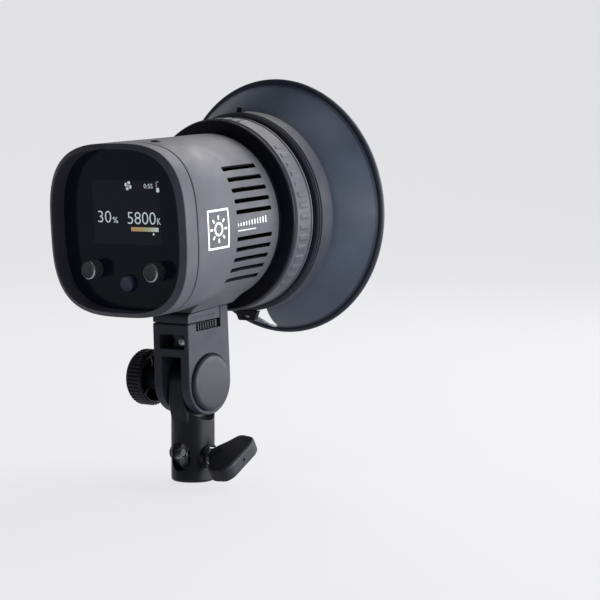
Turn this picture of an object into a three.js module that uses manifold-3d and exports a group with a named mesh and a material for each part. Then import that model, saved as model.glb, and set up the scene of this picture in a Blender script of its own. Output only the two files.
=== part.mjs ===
// Battery LED monolight with an umbrella reflector, a tilting yoke and a stand adaptor.
//
// Millimetres, +Z up. The light points along +Y and +X is the right-hand side seen from behind,
// where the display is. The origin is the centre of the stand socket's mouth, so the light
// hangs on a vertical spigot that comes up through the origin. The yoke and the head tilt
// together about the X axis through the pivot bolt; they are drawn HEAD_TILT degrees nose-up.
//
// Inside the head everything turned is turned about the light axis, which is +Y.

import * as THREE from "three";
import { mergeVertices } from "three/addons/utils/BufferGeometryUtils.js";
import Module from "manifold-3d";

const wasm = await Module();
wasm.setup();

// ---------------------------------------------------------------- driving dimensions

const GAP = 0.3; // clearance between pieces that touch or slide

// Tilt joint and head position
const PIVOT_Z = 68.5; // pivot bolt above the socket mouth
const HEAD_TILT = 4; // degrees nose-up at rest
const AXIS_Z = 110; // light axis above the pivot, in the tilted frame

// Head casing: a rounded square at the back that turns into a circle at the vents
const BODY_HALF = 58.8; // half width at the back
const BODY_HALF_Z = 56.9; // half height at the back
const BODY_POWER = 3.05; // exponent of the rounded square
const CIRCLE_POWER = 2;
const SHELL_WALL = 2.5;
const SHELL_FRONT_Y = 30;
const SHELL_FRONT_R = 57.3;
const PARTING_Y = -57.5;
const BEZEL_REAR_Y = -72;
const BEZEL_CHAMFER = 2.6; // along the light axis
const BEZEL_LIP = 4.1; // width of the chamfer across the rim
const RECESS_HALF = 54.3;
const RECESS_HALF_Z = 53.4;
const PANEL_Y = -59.9; // face of the control panel
const PANEL_INNER_Y = -57.6;

// Controls on the panel
const KNOB_X = 27;
const KNOB_Z = -26.7;
const KNOB_R = 6.2;
const KNOB_FACE_Y = -70;
const KNOB_BACK_Y = -60.7;
const SHAFT_R = 2.7;
const BUTTON_Z = -35.4;
const BUTTON_R = 5.6;
const BUTTON_FACE_Y = -63.4;
const DISPLAY_X = 0.8;
const DISPLAY_Z = 11.2;
const DISPLAY_W = 58;
const DISPLAY_H = 42;
const BOARD_Y = -52.6; // rear face of the control board
const MODULE_Y0 = PANEL_INNER_Y + GAP; // rear face of the display module
const PLUNGER_Y0 = -54.9;
const PLUNGER_Y1 = -53.9;

// Charge port in the left side, and the slot in the top of the casing
const PORT_Y = -38;
const PORT_FLAP = { halfY: 8.5, halfZ: 6, thickness: 1.6 };
const TOP_SLOT = { x0: 14.5, x1: 20.5, y0: -49, y1: -44 };

// Inside the casing
const CHASSIS_REAR_Y = -50.6;
const BATTERY_Y0 = -47;
const BATTERY_Y1 = -23;
const FAN_Y0 = -21.5;
const FAN_Y1 = -8.5;
const FAN_HALF = 35;
const FAN_HUB_R = 12;
const FAN_PIN_R = 1.5;
const SINK_Y0 = -7;
const SINK_BASE_Y = 22;
const SINK_Y1 = 27;
const SINK_R = 42;
const FIN_PITCH = 8;
const FIN_REACH = 36;
const LED_Y0 = SINK_Y1 + GAP;
const LED_R = 12;
const CONE_MOUTH_R = 38;
const CONE_MOUTH_Y = 56;
const GLASS_R = 44;
const GLASS_Y0 = 57.2;
const GLASS_Y1 = 60.2;
const RETAINER_INNER_R = 38.6;
const RETAINER_Y0 = 53.5;
const RETAINER_Y1 = 61;

// Vent slots
const SLOT_REAR_Y = -15.5;
const SLOT_FRONT_Y = 22.5;
const SLOT_H = 2.7;
const SLOT_CENTRE_Z = -0.9;
const SLOT_FIRST = 8.9; // from the centre to the nearest slot, up and down
const SLOT_PITCH = 7.05;
const SLOTS_PER_BANK = 5;

// Front ring stack
const FLANGE_R = 66;
const FLANGE_Y0 = 35;
const FLANGE_Y1 = 37;
const RING_R = 67;
const RING_INNER_R = 60.6;
const RING_Y1 = 57;
const MOUNT_R = 60;
const MOUNT_INNER_R = 52;
const MOUNT_Y1 = 62;

// Reflector
const COLLAR_R = 70;
const COLLAR_Y0 = 59.8;
const COLLAR_Y1 = 75;
const DISH_RIM_R = 91.6;
const DISH_RIM_Y = 106;
const DISH_SHEET = 1.3;
const SLEEVE_Y0 = 70.8; // rear end of the dish's sleeve, inside the collar
const BEAD_R = 2.2;

// Yoke, quick-release plate and casing foot
const YOKE_HALF = 15.5;
const YOKE_TOP = 42.3;
const YOKE_BACK_Y = -21;
const YOKE_FRONT_Y = 23;
const ARM_END_R = 22.4;
const ARM_GAP_HALF = 8.5;
const ARM_GAP_TOP = 19.7;
const CAP_R = 19.5;
const CAP_SEAT_R = 20.1;
const CAP_PROUD = 3.1; // how far the cap stands out of the yoke's side
const PLATE_TOP = 49.5; // height of the joint under the casing's foot at the foot's rear edge
const PLATE_RISE = 0.05; // climb of that joint for each millimetre forwards
const PLATE_BACK_Y = -20.6;
const PLATE_SCREW_YS = [-9, 7];
const FOOT_BACK_Y = -17;
const FOOT_FRONT_Y = 27;
const FOOT_FLARE_X = 31; // where the foot runs out into the casing, from the centre
const FOOT_FLARE_Z = -48.3;
const LIP_Y = 14; // rear face of the yoke's front stop
const RECESS_DEPTH = 5; // of the pocket round the umbrella hole and its screw
const SCREW_X = 7.4; // umbrella screw beside the hole
const LATCH_Y0 = -12;
const LATCH_Y1 = 10.6;
const LATCH_LOW_Z = 37;
const LATCH_TRAVEL = 3;
const LATCH_RIB_PITCH = 2.6;
const LATCH_RIB_WIDTH = 1.3;
const UMBRELLA_X = -6.3;
const UMBRELLA_Z = 30;
const UMBRELLA_HOLE_R = 4.2;
const BOLT_R = 4;
const BOLT_END_X = -38;
const BOLT_HEAD_R = 9.8;
const BOLT_HEAD_X = YOKE_HALF - 5.1; // inner face of the bolt's head
const WASHER_R = 16.5;

// Tilt knob
const TILT_KNOB_R = 19.5;
const TILT_KNOB_X0 = -46;
const TILT_KNOB_X1 = -31.8;
const TILT_RIM_WALL = 3.2;
const TILT_HUB_R = 8;
const NUT_R = 6.7;
const NUT_X0 = -25.6;

// Stand adaptor and clamp
const ADAPTOR_R = 15;
const ADAPTOR_TOP = 54;
const KNUCKLE_R = 18.5;
const KNUCKLE_HALF = 7;
const NECK_STATIONS = [ // height, half width, half depth, exponent
  [26, 14.6, 14.6, 2],
  [34, 12.6, 14.9, 2.4],
  [41, 9.6, 15.6, 3.4],
  [47, KNUCKLE_HALF, 16.4, 6],
];
const WEB_SIDE = [ // half depth and height, from inside the tube up to the knuckle
  [11, 32],
  [13.2, 38],
  [15.3, 44],
  [18.2, 52],
  [KNUCKLE_R, PIVOT_Z - 6],
  [KNUCKLE_R, PIVOT_Z],
];
const SEAT_R = 24.5; // hollow seat that the arm ends turn in
const SEAT_RIM_R = 28; // the seat's bevelled outer edge
const SEAT_FLOOR_X = 9.5; // where the bevel begins
const SPIGOT_BORE_R = 8.2; // 16 mm (5/8 inch) spigot
const SPIGOT_DEPTH = 38;
const CLAMP_Z = 17.9;
const CLAMP_HOLE_R = 5.2;
const PIN_HOLE_R = 2.8;
const COLLAR_OUT_X = 18.4; // outer face of the clamp screw's collar
const HANDLE_ANGLE = 29;
const HANDLE_HALF = 5.5; // half thickness of the wing handle
const HANDLE_BORE_R = 3.8;
const HANDLE_END_X = 44.5;

// Segment counts
const FINE = 36;
const MEDIUM = 20;
const SMALL = 12;

// ---------------------------------------------------------------- materials

const finishes = {
  shell: { color: 0x6a6a70, roughness: 0.55, metalness: 0.1 },
  darkPlastic: { color: 0x2c2d33, roughness: 0.6, metalness: 0 },
  blackPlastic: { color: 0x17181c, roughness: 0.65, metalness: 0 },
  panel: { color: 0x10131a, roughness: 0.12, metalness: 0 },
  glass: { color: 0x0c1420, roughness: 0.05, metalness: 0 },
  frosted: { color: 0xe6e8ea, roughness: 0.45, metalness: 0 },
  dish: { color: 0x3f4954, roughness: 0.45, metalness: 0.3 },
  aluminium: { color: 0xb4b7bb, roughness: 0.35, metalness: 0.9 },
  steel: { color: 0x8d9095, roughness: 0.3, metalness: 0.95 },
  brass: { color: 0xb0813a, roughness: 0.35, metalness: 0.9 },
  rubber: { color: 0x1c1c1e, roughness: 0.85, metalness: 0 },
  board: { color: 0x14502c, roughness: 0.5, metalness: 0 },
  battery: { color: 0x2b4f8c, roughness: 0.5, metalness: 0 },
  emitter: { color: 0xe8c040, roughness: 0.4, metalness: 0 },
  button: { color: 0x59616f, roughness: 0.4, metalness: 0.2 },
};

// ---------------------------------------------------------------- geometry helpers

const UNIT_X = new THREE.Vector3(1, 0, 0);
const UNIT_Y = new THREE.Vector3(0, 1, 0);
const UNIT_Z = new THREE.Vector3(0, 0, 1);

function bare(geometry) {
  geometry.deleteAttribute("normal");
  geometry.deleteAttribute("uv");
  return mergeVertices(geometry, 1e-4);
}

function signedVolume(geometry) {
  const position = geometry.attributes.position;
  const index = geometry.index.array;
  const a = new THREE.Vector3();
  const b = new THREE.Vector3();
  const c = new THREE.Vector3();
  let total = 0;
  for (let i = 0; i < index.length; i += 3) {
    a.fromBufferAttribute(position, index[i]);
    b.fromBufferAttribute(position, index[i + 1]);
    c.fromBufferAttribute(position, index[i + 2]);
    total += a.dot(b.cross(c)) / 6;
  }
  return total;
}

// A closed geometry as a solid, with its faces turned outwards
function solid(source) {
  const geometry = bare(source);
  const triVerts = Uint32Array.from(geometry.index.array);
  if (signedVolume(geometry) < 0) {
    for (let i = 0; i < triVerts.length; i += 3) {
      const first = triVerts[i];
      triVerts[i] = triVerts[i + 1];
      triVerts[i + 1] = first;
    }
  }
  const vertProperties = Float32Array.from(geometry.attributes.position.array);
  return new wasm.Manifold(new wasm.Mesh({ numProp: 3, vertProperties, triVerts }));
}

function unite(first, ...others) {
  return others.reduce((sum, other) => sum.add(other), first);
}

function cut(first, ...others) {
  return others.reduce((rest, other) => rest.subtract(other), first);
}

function geometryOf(manifold) {
  const mesh = manifold.getMesh();
  const geometry = new THREE.BufferGeometry();
  geometry.setAttribute("position", new THREE.BufferAttribute(mesh.vertProperties, 3));
  geometry.setIndex(new THREE.BufferAttribute(mesh.triVerts, 1));
  return geometry;
}

// A solid turned about Y from (radius, y) points; the outline closes on itself or on the axis
function turned(points, segments = FINE) {
  const outline = points.map(([radius, y]) => new THREE.Vector2(radius, y));
  const onAxis = points[0][0] === 0 && points[points.length - 1][0] === 0;
  if (!onAxis) outline.push(outline[0].clone());
  return solid(new THREE.LatheGeometry(outline, segments));
}

function ring(innerR, outerR, y0, y1, segments = FINE) {
  return turned([[innerR, y0], [outerR, y0], [outerR, y1], [innerR, y1]], segments);
}

function disc(radius, y0, y1, segments = MEDIUM) {
  return turned([[0, y0], [radius, y0], [radius, y1], [0, y1]], segments);
}

function moved(manifold, x, y, z) {
  return manifold.translate([x, y, z]);
}

// Turns something made about the Y axis so that it lies about the X or the Z axis
function aboutX(manifold) {
  return manifold.rotate([0, 0, -90]);
}

function aboutZ(manifold) {
  return manifold.rotate([90, 0, 0]);
}

function block(x0, x1, y0, y1, z0, z1) {
  const geometry = new THREE.BoxGeometry(x1 - x0, y1 - y0, z1 - z0);
  geometry.translate((x0 + x1) / 2, (y0 + y1) / 2, (z0 + z1) / 2);
  return solid(geometry);
}

// Outline in (y, z), extruded from x0 to x1
function extrudeX(shape, x0, x1, bevel = 0) {
  const geometry = new THREE.ExtrudeGeometry(shape, extrusion(x1 - x0, bevel));
  geometry.applyMatrix4(new THREE.Matrix4().makeBasis(UNIT_Y, UNIT_Z, UNIT_X));
  geometry.translate(x0 + bevel, 0, 0);
  return solid(geometry);
}

// Outline in (x, z), extruded from y0 to y1
function extrudeY(shape, y0, y1, bevel = 0) {
  const geometry = new THREE.ExtrudeGeometry(shape, extrusion(y1 - y0, bevel));
  const backwards = UNIT_Y.clone().negate();
  geometry.applyMatrix4(new THREE.Matrix4().makeBasis(UNIT_X, UNIT_Z, backwards));
  geometry.translate(0, y1 - bevel, 0);
  return solid(geometry);
}

function extrusion(depth, bevel) {
  return {
    depth: depth - 2 * bevel,
    bevelEnabled: bevel > 0,
    bevelThickness: bevel,
    bevelSize: bevel,
    bevelOffset: -bevel,
    bevelSegments: 1,
    curveSegments: 4,
  };
}

// Rectangle about (x, y) with round corners
function roundedRectangle(x, y, width, height, radius) {
  const shape = new THREE.Shape();
  const left = x - width / 2;
  const right = x + width / 2;
  const low = y - height / 2;
  const high = y + height / 2;
  shape.moveTo(left + radius, low);
  shape.lineTo(right - radius, low);
  shape.absarc(right - radius, low + radius, radius, -Math.PI / 2, 0);
  shape.lineTo(right, high - radius);
  shape.absarc(right - radius, high - radius, radius, 0, Math.PI / 2);
  shape.lineTo(left + radius, high);
  shape.absarc(left + radius, high - radius, radius, Math.PI / 2, Math.PI);
  shape.lineTo(left, low + radius);
  shape.absarc(left + radius, low + radius, radius, Math.PI, 1.5 * Math.PI);
  return shape;
}

// Ring of points on a superellipse across the light axis
function section(y, halfX, halfZ, power, count = FINE) {
  const points = [];
  for (let i = 0; i < count; i += 1) {
    const angle = (2 * Math.PI * i) / count;
    const c = Math.cos(angle);
    const s = Math.sin(angle);
    const reach = (Math.abs(c) ** power + Math.abs(s) ** power) ** (-1 / power);
    points.push(new THREE.Vector3(halfX * reach * c, y, halfZ * reach * s));
  }
  return points;
}

// Closed solid through equal rings of points, with a flat cap at each end
function loft(sections) {
  const count = sections[0].length;
  const points = sections.flat();
  const first = points.length;
  const middle = (list) => list.reduce((sum, p) => sum.add(p), new THREE.Vector3()).divideScalar(count);
  points.push(middle(sections[0]));
  points.push(middle(sections[sections.length - 1]));
  const index = [];
  for (let j = 0; j < count; j += 1) {
    const k = (j + 1) % count;
    for (let i = 0; i < sections.length - 1; i += 1) {
      const low = i * count;
      const high = low + count;
      index.push(low + j, low + k, high + k, low + j, high + k, high + j);
    }
    const last = (sections.length - 1) * count;
    index.push(first, k, j);
    index.push(first + 1, last + j, last + k);
  }
  const geometry = new THREE.BufferGeometry().setFromPoints(points);
  geometry.setIndex(index);
  return solid(geometry);
}

// ---------------------------------------------------------------- assembly groups

const light = new THREE.Group();
const head = new THREE.Group(); // tilts about the pivot bolt
head.position.set(0, 0, PIVOT_Z);
head.rotation.x = THREE.MathUtils.degToRad(HEAD_TILT);
light.add(head);
const barrel = new THREE.Group(); // about the light axis
barrel.position.set(0, 0, AXIS_Z);
head.add(barrel);

function place(parent, name, manifold, finish) {
  const material = new THREE.MeshStandardMaterial(finishes[finish]);
  const mesh = new THREE.Mesh(geometryOf(manifold), material);
  mesh.name = name;
  parent.add(mesh);
}

// ---------------------------------------------------------------- head casing

// Outside of the casing, from the parting line forwards; inset moves every wall inwards
const CASING_STATIONS = [
  [PARTING_Y, BODY_HALF, BODY_HALF_Z, BODY_POWER],
  [-46, 58.6, 57, 2.95],
  [-34, 58.2, 57.1, 2.6],
  [-22, 57.9, 57.2, 2.25],
  [-10, 57.6, 57.3, 2.05],
  [0, 57.4, 57.3, CIRCLE_POWER],
  [SHELL_FRONT_Y, SHELL_FRONT_R, SHELL_FRONT_R, CIRCLE_POWER],
];

function casing(inset) {
  const last = CASING_STATIONS.length - 1;
  return loft(CASING_STATIONS.map(([y, halfX, halfZ, power], i) => {
    let overrun = 0;
    if (inset > 0 && i === 0) overrun = -1;
    if (inset > 0 && i === last) overrun = 1;
    return section(y + overrun, halfX - inset, halfZ - inset, power);
  }));
}

// Rounded square across the light axis that follows the back of the casing
function squareSection(y, halfX, halfZ) {
  return section(y, halfX, halfZ, BODY_POWER);
}

// Height of the joint between the plate and the casing's foot, in the tilted frame
function jointZ(y) {
  return PLATE_TOP + PLATE_RISE * (y - FOOT_BACK_Y);
}

// Saddle under the casing that carries the quick-release plate
function foot() {
  const low = PLATE_TOP - AXIS_Z;
  const shape = new THREE.Shape();
  shape.moveTo(-YOKE_HALF, low);
  shape.lineTo(YOKE_HALF, low);
  shape.quadraticCurveTo(YOKE_HALF + 0.5, low + 2.4, FOOT_FLARE_X, FOOT_FLARE_Z);
  shape.lineTo(-FOOT_FLARE_X, FOOT_FLARE_Z);
  shape.quadraticCurveTo(-YOKE_HALF - 0.5, low + 2.4, -YOKE_HALF, low);
  const below = new THREE.Shape();
  below.moveTo(FOOT_BACK_Y - 1, low - 2);
  below.lineTo(FOOT_FRONT_Y + 1, low - 2);
  below.lineTo(FOOT_FRONT_Y + 1, jointZ(FOOT_FRONT_Y + 1) - AXIS_Z);
  below.lineTo(FOOT_BACK_Y - 1, jointZ(FOOT_BACK_Y - 1) - AXIS_Z);
  return cut(extrudeY(shape, FOOT_BACK_Y, FOOT_FRONT_Y), extrudeX(below, -2 * YOKE_HALF, 2 * YOKE_HALF));
}

function ventSlots() {
  const slots = [];
  for (const side of [-1, 1]) {
    for (const level of [-1, 1]) {
      for (let i = 0; i < SLOTS_PER_BANK; i += 1) {
        const offset = SLOT_FIRST + i * SLOT_PITCH;
        const inner = Math.sqrt((SHELL_FRONT_R - SHELL_WALL) ** 2 - (offset + SLOT_H) ** 2) - 5;
        const x0 = side > 0 ? inner : -BODY_HALF - 2;
        const x1 = side > 0 ? BODY_HALF + 2 : -inner;
        const low = SLOT_CENTRE_Z + level * offset - SLOT_H / 2;
        slots.push(block(x0, x1, SLOT_REAR_Y, SLOT_FRONT_Y, low, low + SLOT_H));
      }
    }
  }
  return slots;
}

function mainShell() {
  const outside = unite(casing(0), foot());
  const portRecess = block(
    -BODY_HALF - 1,
    -BODY_HALF + PORT_FLAP.thickness + GAP,
    PORT_Y - PORT_FLAP.halfY - GAP,
    PORT_Y + PORT_FLAP.halfY + GAP,
    -PORT_FLAP.halfZ - GAP,
    PORT_FLAP.halfZ + GAP,
  );
  const portHole = block(-BODY_HALF - 1, -BODY_HALF + 4, PORT_Y - 5, PORT_Y + 5, -2.2, 2.2);
  const topSlot = block(
    TOP_SLOT.x0,
    TOP_SLOT.x1,
    TOP_SLOT.y0,
    TOP_SLOT.y1,
    BODY_HALF_Z - 5,
    BODY_HALF_Z + 2,
  );
  const screwHoles = PLATE_SCREW_YS.map((y) => moved(aboutZ(disc(1.8, 0, 5, SMALL)), 0, y, footHoleZ()));
  return cut(outside, casing(SHELL_WALL), ...ventSlots(), portRecess, portHole, topSlot, ...screwHoles);
}

function footHoleZ() {
  return PLATE_TOP - AXIS_Z - 1;
}

function rearBezel() {
  const outside = loft([
    squareSection(BEZEL_REAR_Y, BODY_HALF - BEZEL_LIP, BODY_HALF_Z - BEZEL_LIP + 0.8),
    squareSection(BEZEL_REAR_Y + BEZEL_CHAMFER, BODY_HALF, BODY_HALF_Z),
    squareSection(PARTING_Y - GAP, BODY_HALF, BODY_HALF_Z),
  ]);
  const opening = loft([
    squareSection(BEZEL_REAR_Y - 1, RECESS_HALF, RECESS_HALF_Z),
    squareSection(PANEL_Y - GAP, RECESS_HALF, RECESS_HALF_Z),
  ]);
  const rebate = loft([
    squareSection(PANEL_Y - GAP, RECESS_HALF + 1.8, RECESS_HALF_Z + 1.5),
    squareSection(PARTING_Y + 1, RECESS_HALF + 1.8, RECESS_HALF_Z + 1.5),
  ]);
  return cut(outside, opening, rebate);
}

function controlPanel() {
  const plate = loft([
    squareSection(PANEL_Y, RECESS_HALF + 1.4, RECESS_HALF_Z + 1.1),
    squareSection(PANEL_INNER_Y, RECESS_HALF + 1.4, RECESS_HALF_Z + 1.1),
  ]);
  const through = (radius) => disc(radius, PANEL_Y - 1, PANEL_INNER_Y + 1, SMALL);
  const window = extrudeY(
    roundedRectangle(DISPLAY_X, DISPLAY_Z, DISPLAY_W + 2 * GAP, DISPLAY_H + 2 * GAP, 1),
    PANEL_Y - 1,
    PANEL_INNER_Y + 1,
  );
  return cut(
    plate,
    window,
    moved(through(SHAFT_R + 0.5), -KNOB_X, 0, KNOB_Z),
    moved(through(SHAFT_R + 0.5), KNOB_X, 0, KNOB_Z),
    moved(through(BUTTON_R + GAP), 0, 0, BUTTON_Z),
  );
}

place(barrel, "main_shell", mainShell(), "shell");
place(barrel, "rear_bezel", rearBezel(), "shell");
place(barrel, "control_panel", controlPanel(), "panel");
place(
  barrel,
  "display_window",
  extrudeY(roundedRectangle(DISPLAY_X, DISPLAY_Z, DISPLAY_W, DISPLAY_H, 0.8), PANEL_Y, PANEL_INNER_Y),
  "glass",
);

// ---------------------------------------------------------------- display and control board

place(
  barrel,
  "display_module",
  block(DISPLAY_X - 31, DISPLAY_X + 31, MODULE_Y0, BOARD_Y - GAP, DISPLAY_Z - 23, DISPLAY_Z + 24),
  "steel",
);
place(barrel, "control_board", block(-41, 41, BOARD_Y, BOARD_Y + 1.6, -42, 38), "board");

// Rotary encoder: body with a bore for the shaft and a chamber for the push plunger
function encoderBody(x) {
  const body = block(x - 6.5, x + 6.5, MODULE_Y0, BOARD_Y - GAP, KNOB_Z - 6.5, KNOB_Z + 6.5);
  const bore = moved(disc(SHAFT_R + 0.4, MODULE_Y0 - 1, -54, SMALL), x, 0, KNOB_Z);
  const chamber = moved(disc(4.6, PLUNGER_Y0 - GAP, BOARD_Y, SMALL), x, 0, KNOB_Z);
  return cut(body, bore, chamber);
}

// Knob: a cap with a blind bore, turned; the finger grip is on its outside
function controlKnob(x) {
  const cap = turned([
    [0, KNOB_FACE_Y],
    [KNOB_R - 0.7, KNOB_FACE_Y],
    [KNOB_R, KNOB_FACE_Y + 0.7],
    [KNOB_R, KNOB_BACK_Y - 1],
    [KNOB_R - 0.5, KNOB_BACK_Y],
    [0, KNOB_BACK_Y],
  ], MEDIUM);
  const bore = disc(SHAFT_R + GAP, KNOB_BACK_Y - 7, KNOB_BACK_Y + 1, SMALL);
  return moved(cut(cap, bore), x, 0, KNOB_Z);
}

for (const [name, x] of [["brightness", -KNOB_X], ["colour", KNOB_X]]) {
  place(barrel, `${name}_encoder`, encoderBody(x), "blackPlastic");
  place(barrel, `${name}_plunger`, moved(disc(4.2, PLUNGER_Y0, PLUNGER_Y1, SMALL), x, 0, KNOB_Z), "steel");
  const shaft = disc(SHAFT_R, KNOB_BACK_Y - 6.6, PLUNGER_Y0 - GAP, SMALL);
  place(barrel, `${name}_shaft`, moved(shaft, x, 0, KNOB_Z), "steel");
  place(barrel, `${name}_knob`, controlKnob(x), "blackPlastic");
}

// Menu button: cap, a flange that keeps it behind the panel, and a stem over its switch
place(
  barrel,
  "menu_button",
  moved(
    turned([
      [0, BUTTON_FACE_Y],
      [BUTTON_R - 0.8, BUTTON_FACE_Y],
      [BUTTON_R, BUTTON_FACE_Y + 0.8],
      [BUTTON_R, PANEL_INNER_Y + 0.4],
      [BUTTON_R + 1, PANEL_INNER_Y + 0.4],
      [BUTTON_R + 1, PANEL_INNER_Y + 1.2],
      [1.8, PANEL_INNER_Y + 1.2],
      [1.8, -55.2],
      [0, -55.2],
    ], MEDIUM),
    0,
    0,
    BUTTON_Z,
  ),
  "button",
);
place(
  barrel,
  "menu_switch",
  block(-3.5, 3.5, -54.2, BOARD_Y - GAP, BUTTON_Z - 3.5, BUTTON_Z + 3.5),
  "blackPlastic",
);

// ---------------------------------------------------------------- inside the casing

// Moulded frame: a plate behind the battery, four rails and a ring round the heat sink's base
function chassis() {
  const plate = extrudeY(roundedRectangle(0, 0, 92, 98, 20), CHASSIS_REAR_Y, CHASSIS_REAR_Y + 2.4);
  const window = extrudeY(roundedRectangle(0, 0, 60, 60, 8), CHASSIS_REAR_Y - 1, CHASSIS_REAR_Y + 3.4);
  const rails = [];
  for (const side of [-1, 1]) {
    for (const level of [-1, 1]) {
      const x0 = side > 0 ? 14 : -21;
      const z0 = level > 0 ? 45.2 : -49;
      rails.push(block(x0, x0 + 7, CHASSIS_REAR_Y + 1, SINK_Y1, z0, z0 + 3.8));
    }
  }
  return unite(cut(plate, window), ...rails, ring(SINK_R + GAP, 52, SINK_Y1 - 3.5, SINK_Y1));
}

function heatSink() {
  const fins = [];
  for (let x = -FIN_REACH; x <= FIN_REACH; x += FIN_PITCH) {
    const half = Math.sqrt(SINK_R ** 2 - (Math.abs(x) + 1) ** 2) - 0.3;
    fins.push(block(x - 1, x + 1, SINK_Y0, SINK_BASE_Y + 0.5, -half, half));
  }
  return unite(disc(SINK_R, SINK_BASE_Y, SINK_Y1, FINE), ...fins);
}

function fanFrame() {
  const frame = extrudeY(roundedRectangle(0, 0, 2 * FAN_HALF, 2 * FAN_HALF, 5), FAN_Y0, FAN_Y1);
  const duct = disc(FAN_HALF - 2, FAN_Y0 - 1, FAN_Y1 + 1, FINE);
  const hub = disc(FAN_HUB_R - 1, FAN_Y1 - 2.5, FAN_Y1, SMALL);
  const spokes = [];
  for (let i = 0; i < 3; i += 1) {
    const spoke = block(-1.5, 1.5, FAN_Y1 - 2.5, FAN_Y1, 8, FAN_HALF - 1);
    spokes.push(spoke.rotate([0, 120 * i, 0]));
  }
  const pin = disc(FAN_PIN_R, FAN_Y1 - 7, FAN_Y1, SMALL);
  return unite(cut(frame, duct), hub, ...spokes, pin);
}

// Fan rotor: a hub cup over the pin and seven pitched blades
function fanRotor() {
  const hub = turned([
    [0, FAN_Y0 + 0.5],
    [FAN_HUB_R, FAN_Y0 + 0.5],
    [FAN_HUB_R, FAN_Y1 - 3],
    [FAN_PIN_R + 0.4, FAN_Y1 - 3],
    [FAN_PIN_R + 0.4, FAN_Y1 - 7.5],
    [0, FAN_Y1 - 7.5],
  ], SMALL);
  const blades = [];
  for (let i = 0; i < 7; i += 1) {
    const blade = block(-6.5, 6.5, -0.6, 0.6, FAN_HUB_R - 1, FAN_HALF - 3.2).rotate([0, 0, 35]);
    blades.push(moved(blade, 0, (FAN_Y0 + FAN_Y1) / 2 - 1, 0).rotate([0, (360 * i) / 7, 0]));
  }
  return unite(hub, ...blades);
}

place(barrel, "chassis", chassis(), "blackPlastic");
place(
  barrel,
  "battery_pack",
  extrudeY(roundedRectangle(0, 0, 88, 72, 9), BATTERY_Y0, BATTERY_Y1),
  "battery",
);
place(barrel, "driver_board", block(-32, 32, -46, -9, -42.4, -40.8), "board");
place(barrel, "fan_frame", fanFrame(), "blackPlastic");
place(barrel, "fan_rotor", fanRotor(), "blackPlastic");
place(barrel, "heat_sink", heatSink(), "aluminium");
place(barrel, "charge_port", block(-BODY_HALF + 2.6, -47, PORT_Y - 4.6, PORT_Y + 4.6, -1.8, 1.8), "steel");

// Rubber flap over the charge port, hinged at its front edge
place(
  barrel,
  "port_cover",
  block(
    -BODY_HALF,
    -BODY_HALF + PORT_FLAP.thickness,
    PORT_Y - PORT_FLAP.halfY,
    PORT_Y + PORT_FLAP.halfY,
    -PORT_FLAP.halfZ,
    PORT_FLAP.halfZ,
  ),
  "rubber",
);

// ---------------------------------------------------------------- light source

place(barrel, "led_board", block(-24, 24, LED_Y0, LED_Y0 + 2.4, -24, 24), "aluminium");
place(barrel, "led_emitter", disc(LED_R, LED_Y0 + 2.7, LED_Y0 + 4.2, MEDIUM), "emitter");
place(
  barrel,
  "light_cone",
  turned([
    [LED_R + 1, LED_Y0 + 4.5],
    [LED_R + 2.5, LED_Y0 + 4.5],
    [CONE_MOUTH_R, CONE_MOUTH_Y],
    [CONE_MOUTH_R - 1.5, CONE_MOUTH_Y],
  ]),
  "aluminium",
);
place(
  barrel,
  "glass_retainer",
  turned([
    [RETAINER_INNER_R, RETAINER_Y0],
    [MOUNT_INNER_R - GAP, RETAINER_Y0],
    [MOUNT_INNER_R - GAP, RETAINER_Y1],
    [GLASS_R + GAP, RETAINER_Y1],
    [GLASS_R + GAP, GLASS_Y0 - GAP],
    [RETAINER_INNER_R, GLASS_Y0 - GAP],
  ]),
  "blackPlastic",
);
place(barrel, "front_glass", disc(GLASS_R, GLASS_Y0, GLASS_Y1, FINE), "frosted");

// ---------------------------------------------------------------- front ring stack

place(
  barrel,
  "front_flange",
  turned([
    [46, SINK_Y1 + 0.3],
    [54, SINK_Y1 + 0.3],
    [54, FLANGE_Y0],
    [FLANGE_R - 0.8, FLANGE_Y0],
    [FLANGE_R, FLANGE_Y0 + 0.8],
    [FLANGE_R, FLANGE_Y1],
    [46, FLANGE_Y1],
  ]),
  "darkPlastic",
);
place(
  barrel,
  "bayonet_mount",
  turned([
    [MOUNT_INNER_R, FLANGE_Y1 + GAP],
    [MOUNT_R, FLANGE_Y1 + GAP],
    [MOUNT_R, MOUNT_Y1 - 1],
    [MOUNT_R - 1, MOUNT_Y1],
    [MOUNT_INNER_R, MOUNT_Y1],
  ]),
  "aluminium",
);
place(
  barrel,
  "lock_ring",
  turned([
    [RING_INNER_R, FLANGE_Y1 + GAP],
    [RING_R - 1.2, FLANGE_Y1 + GAP],
    [RING_R, FLANGE_Y1 + 1.5],
    [RING_R, RING_Y1 - 1],
    [RING_R - 1, RING_Y1],
    [RING_INNER_R, RING_Y1],
  ]),
  "darkPlastic",
);

// ---------------------------------------------------------------- umbrella reflector

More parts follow.
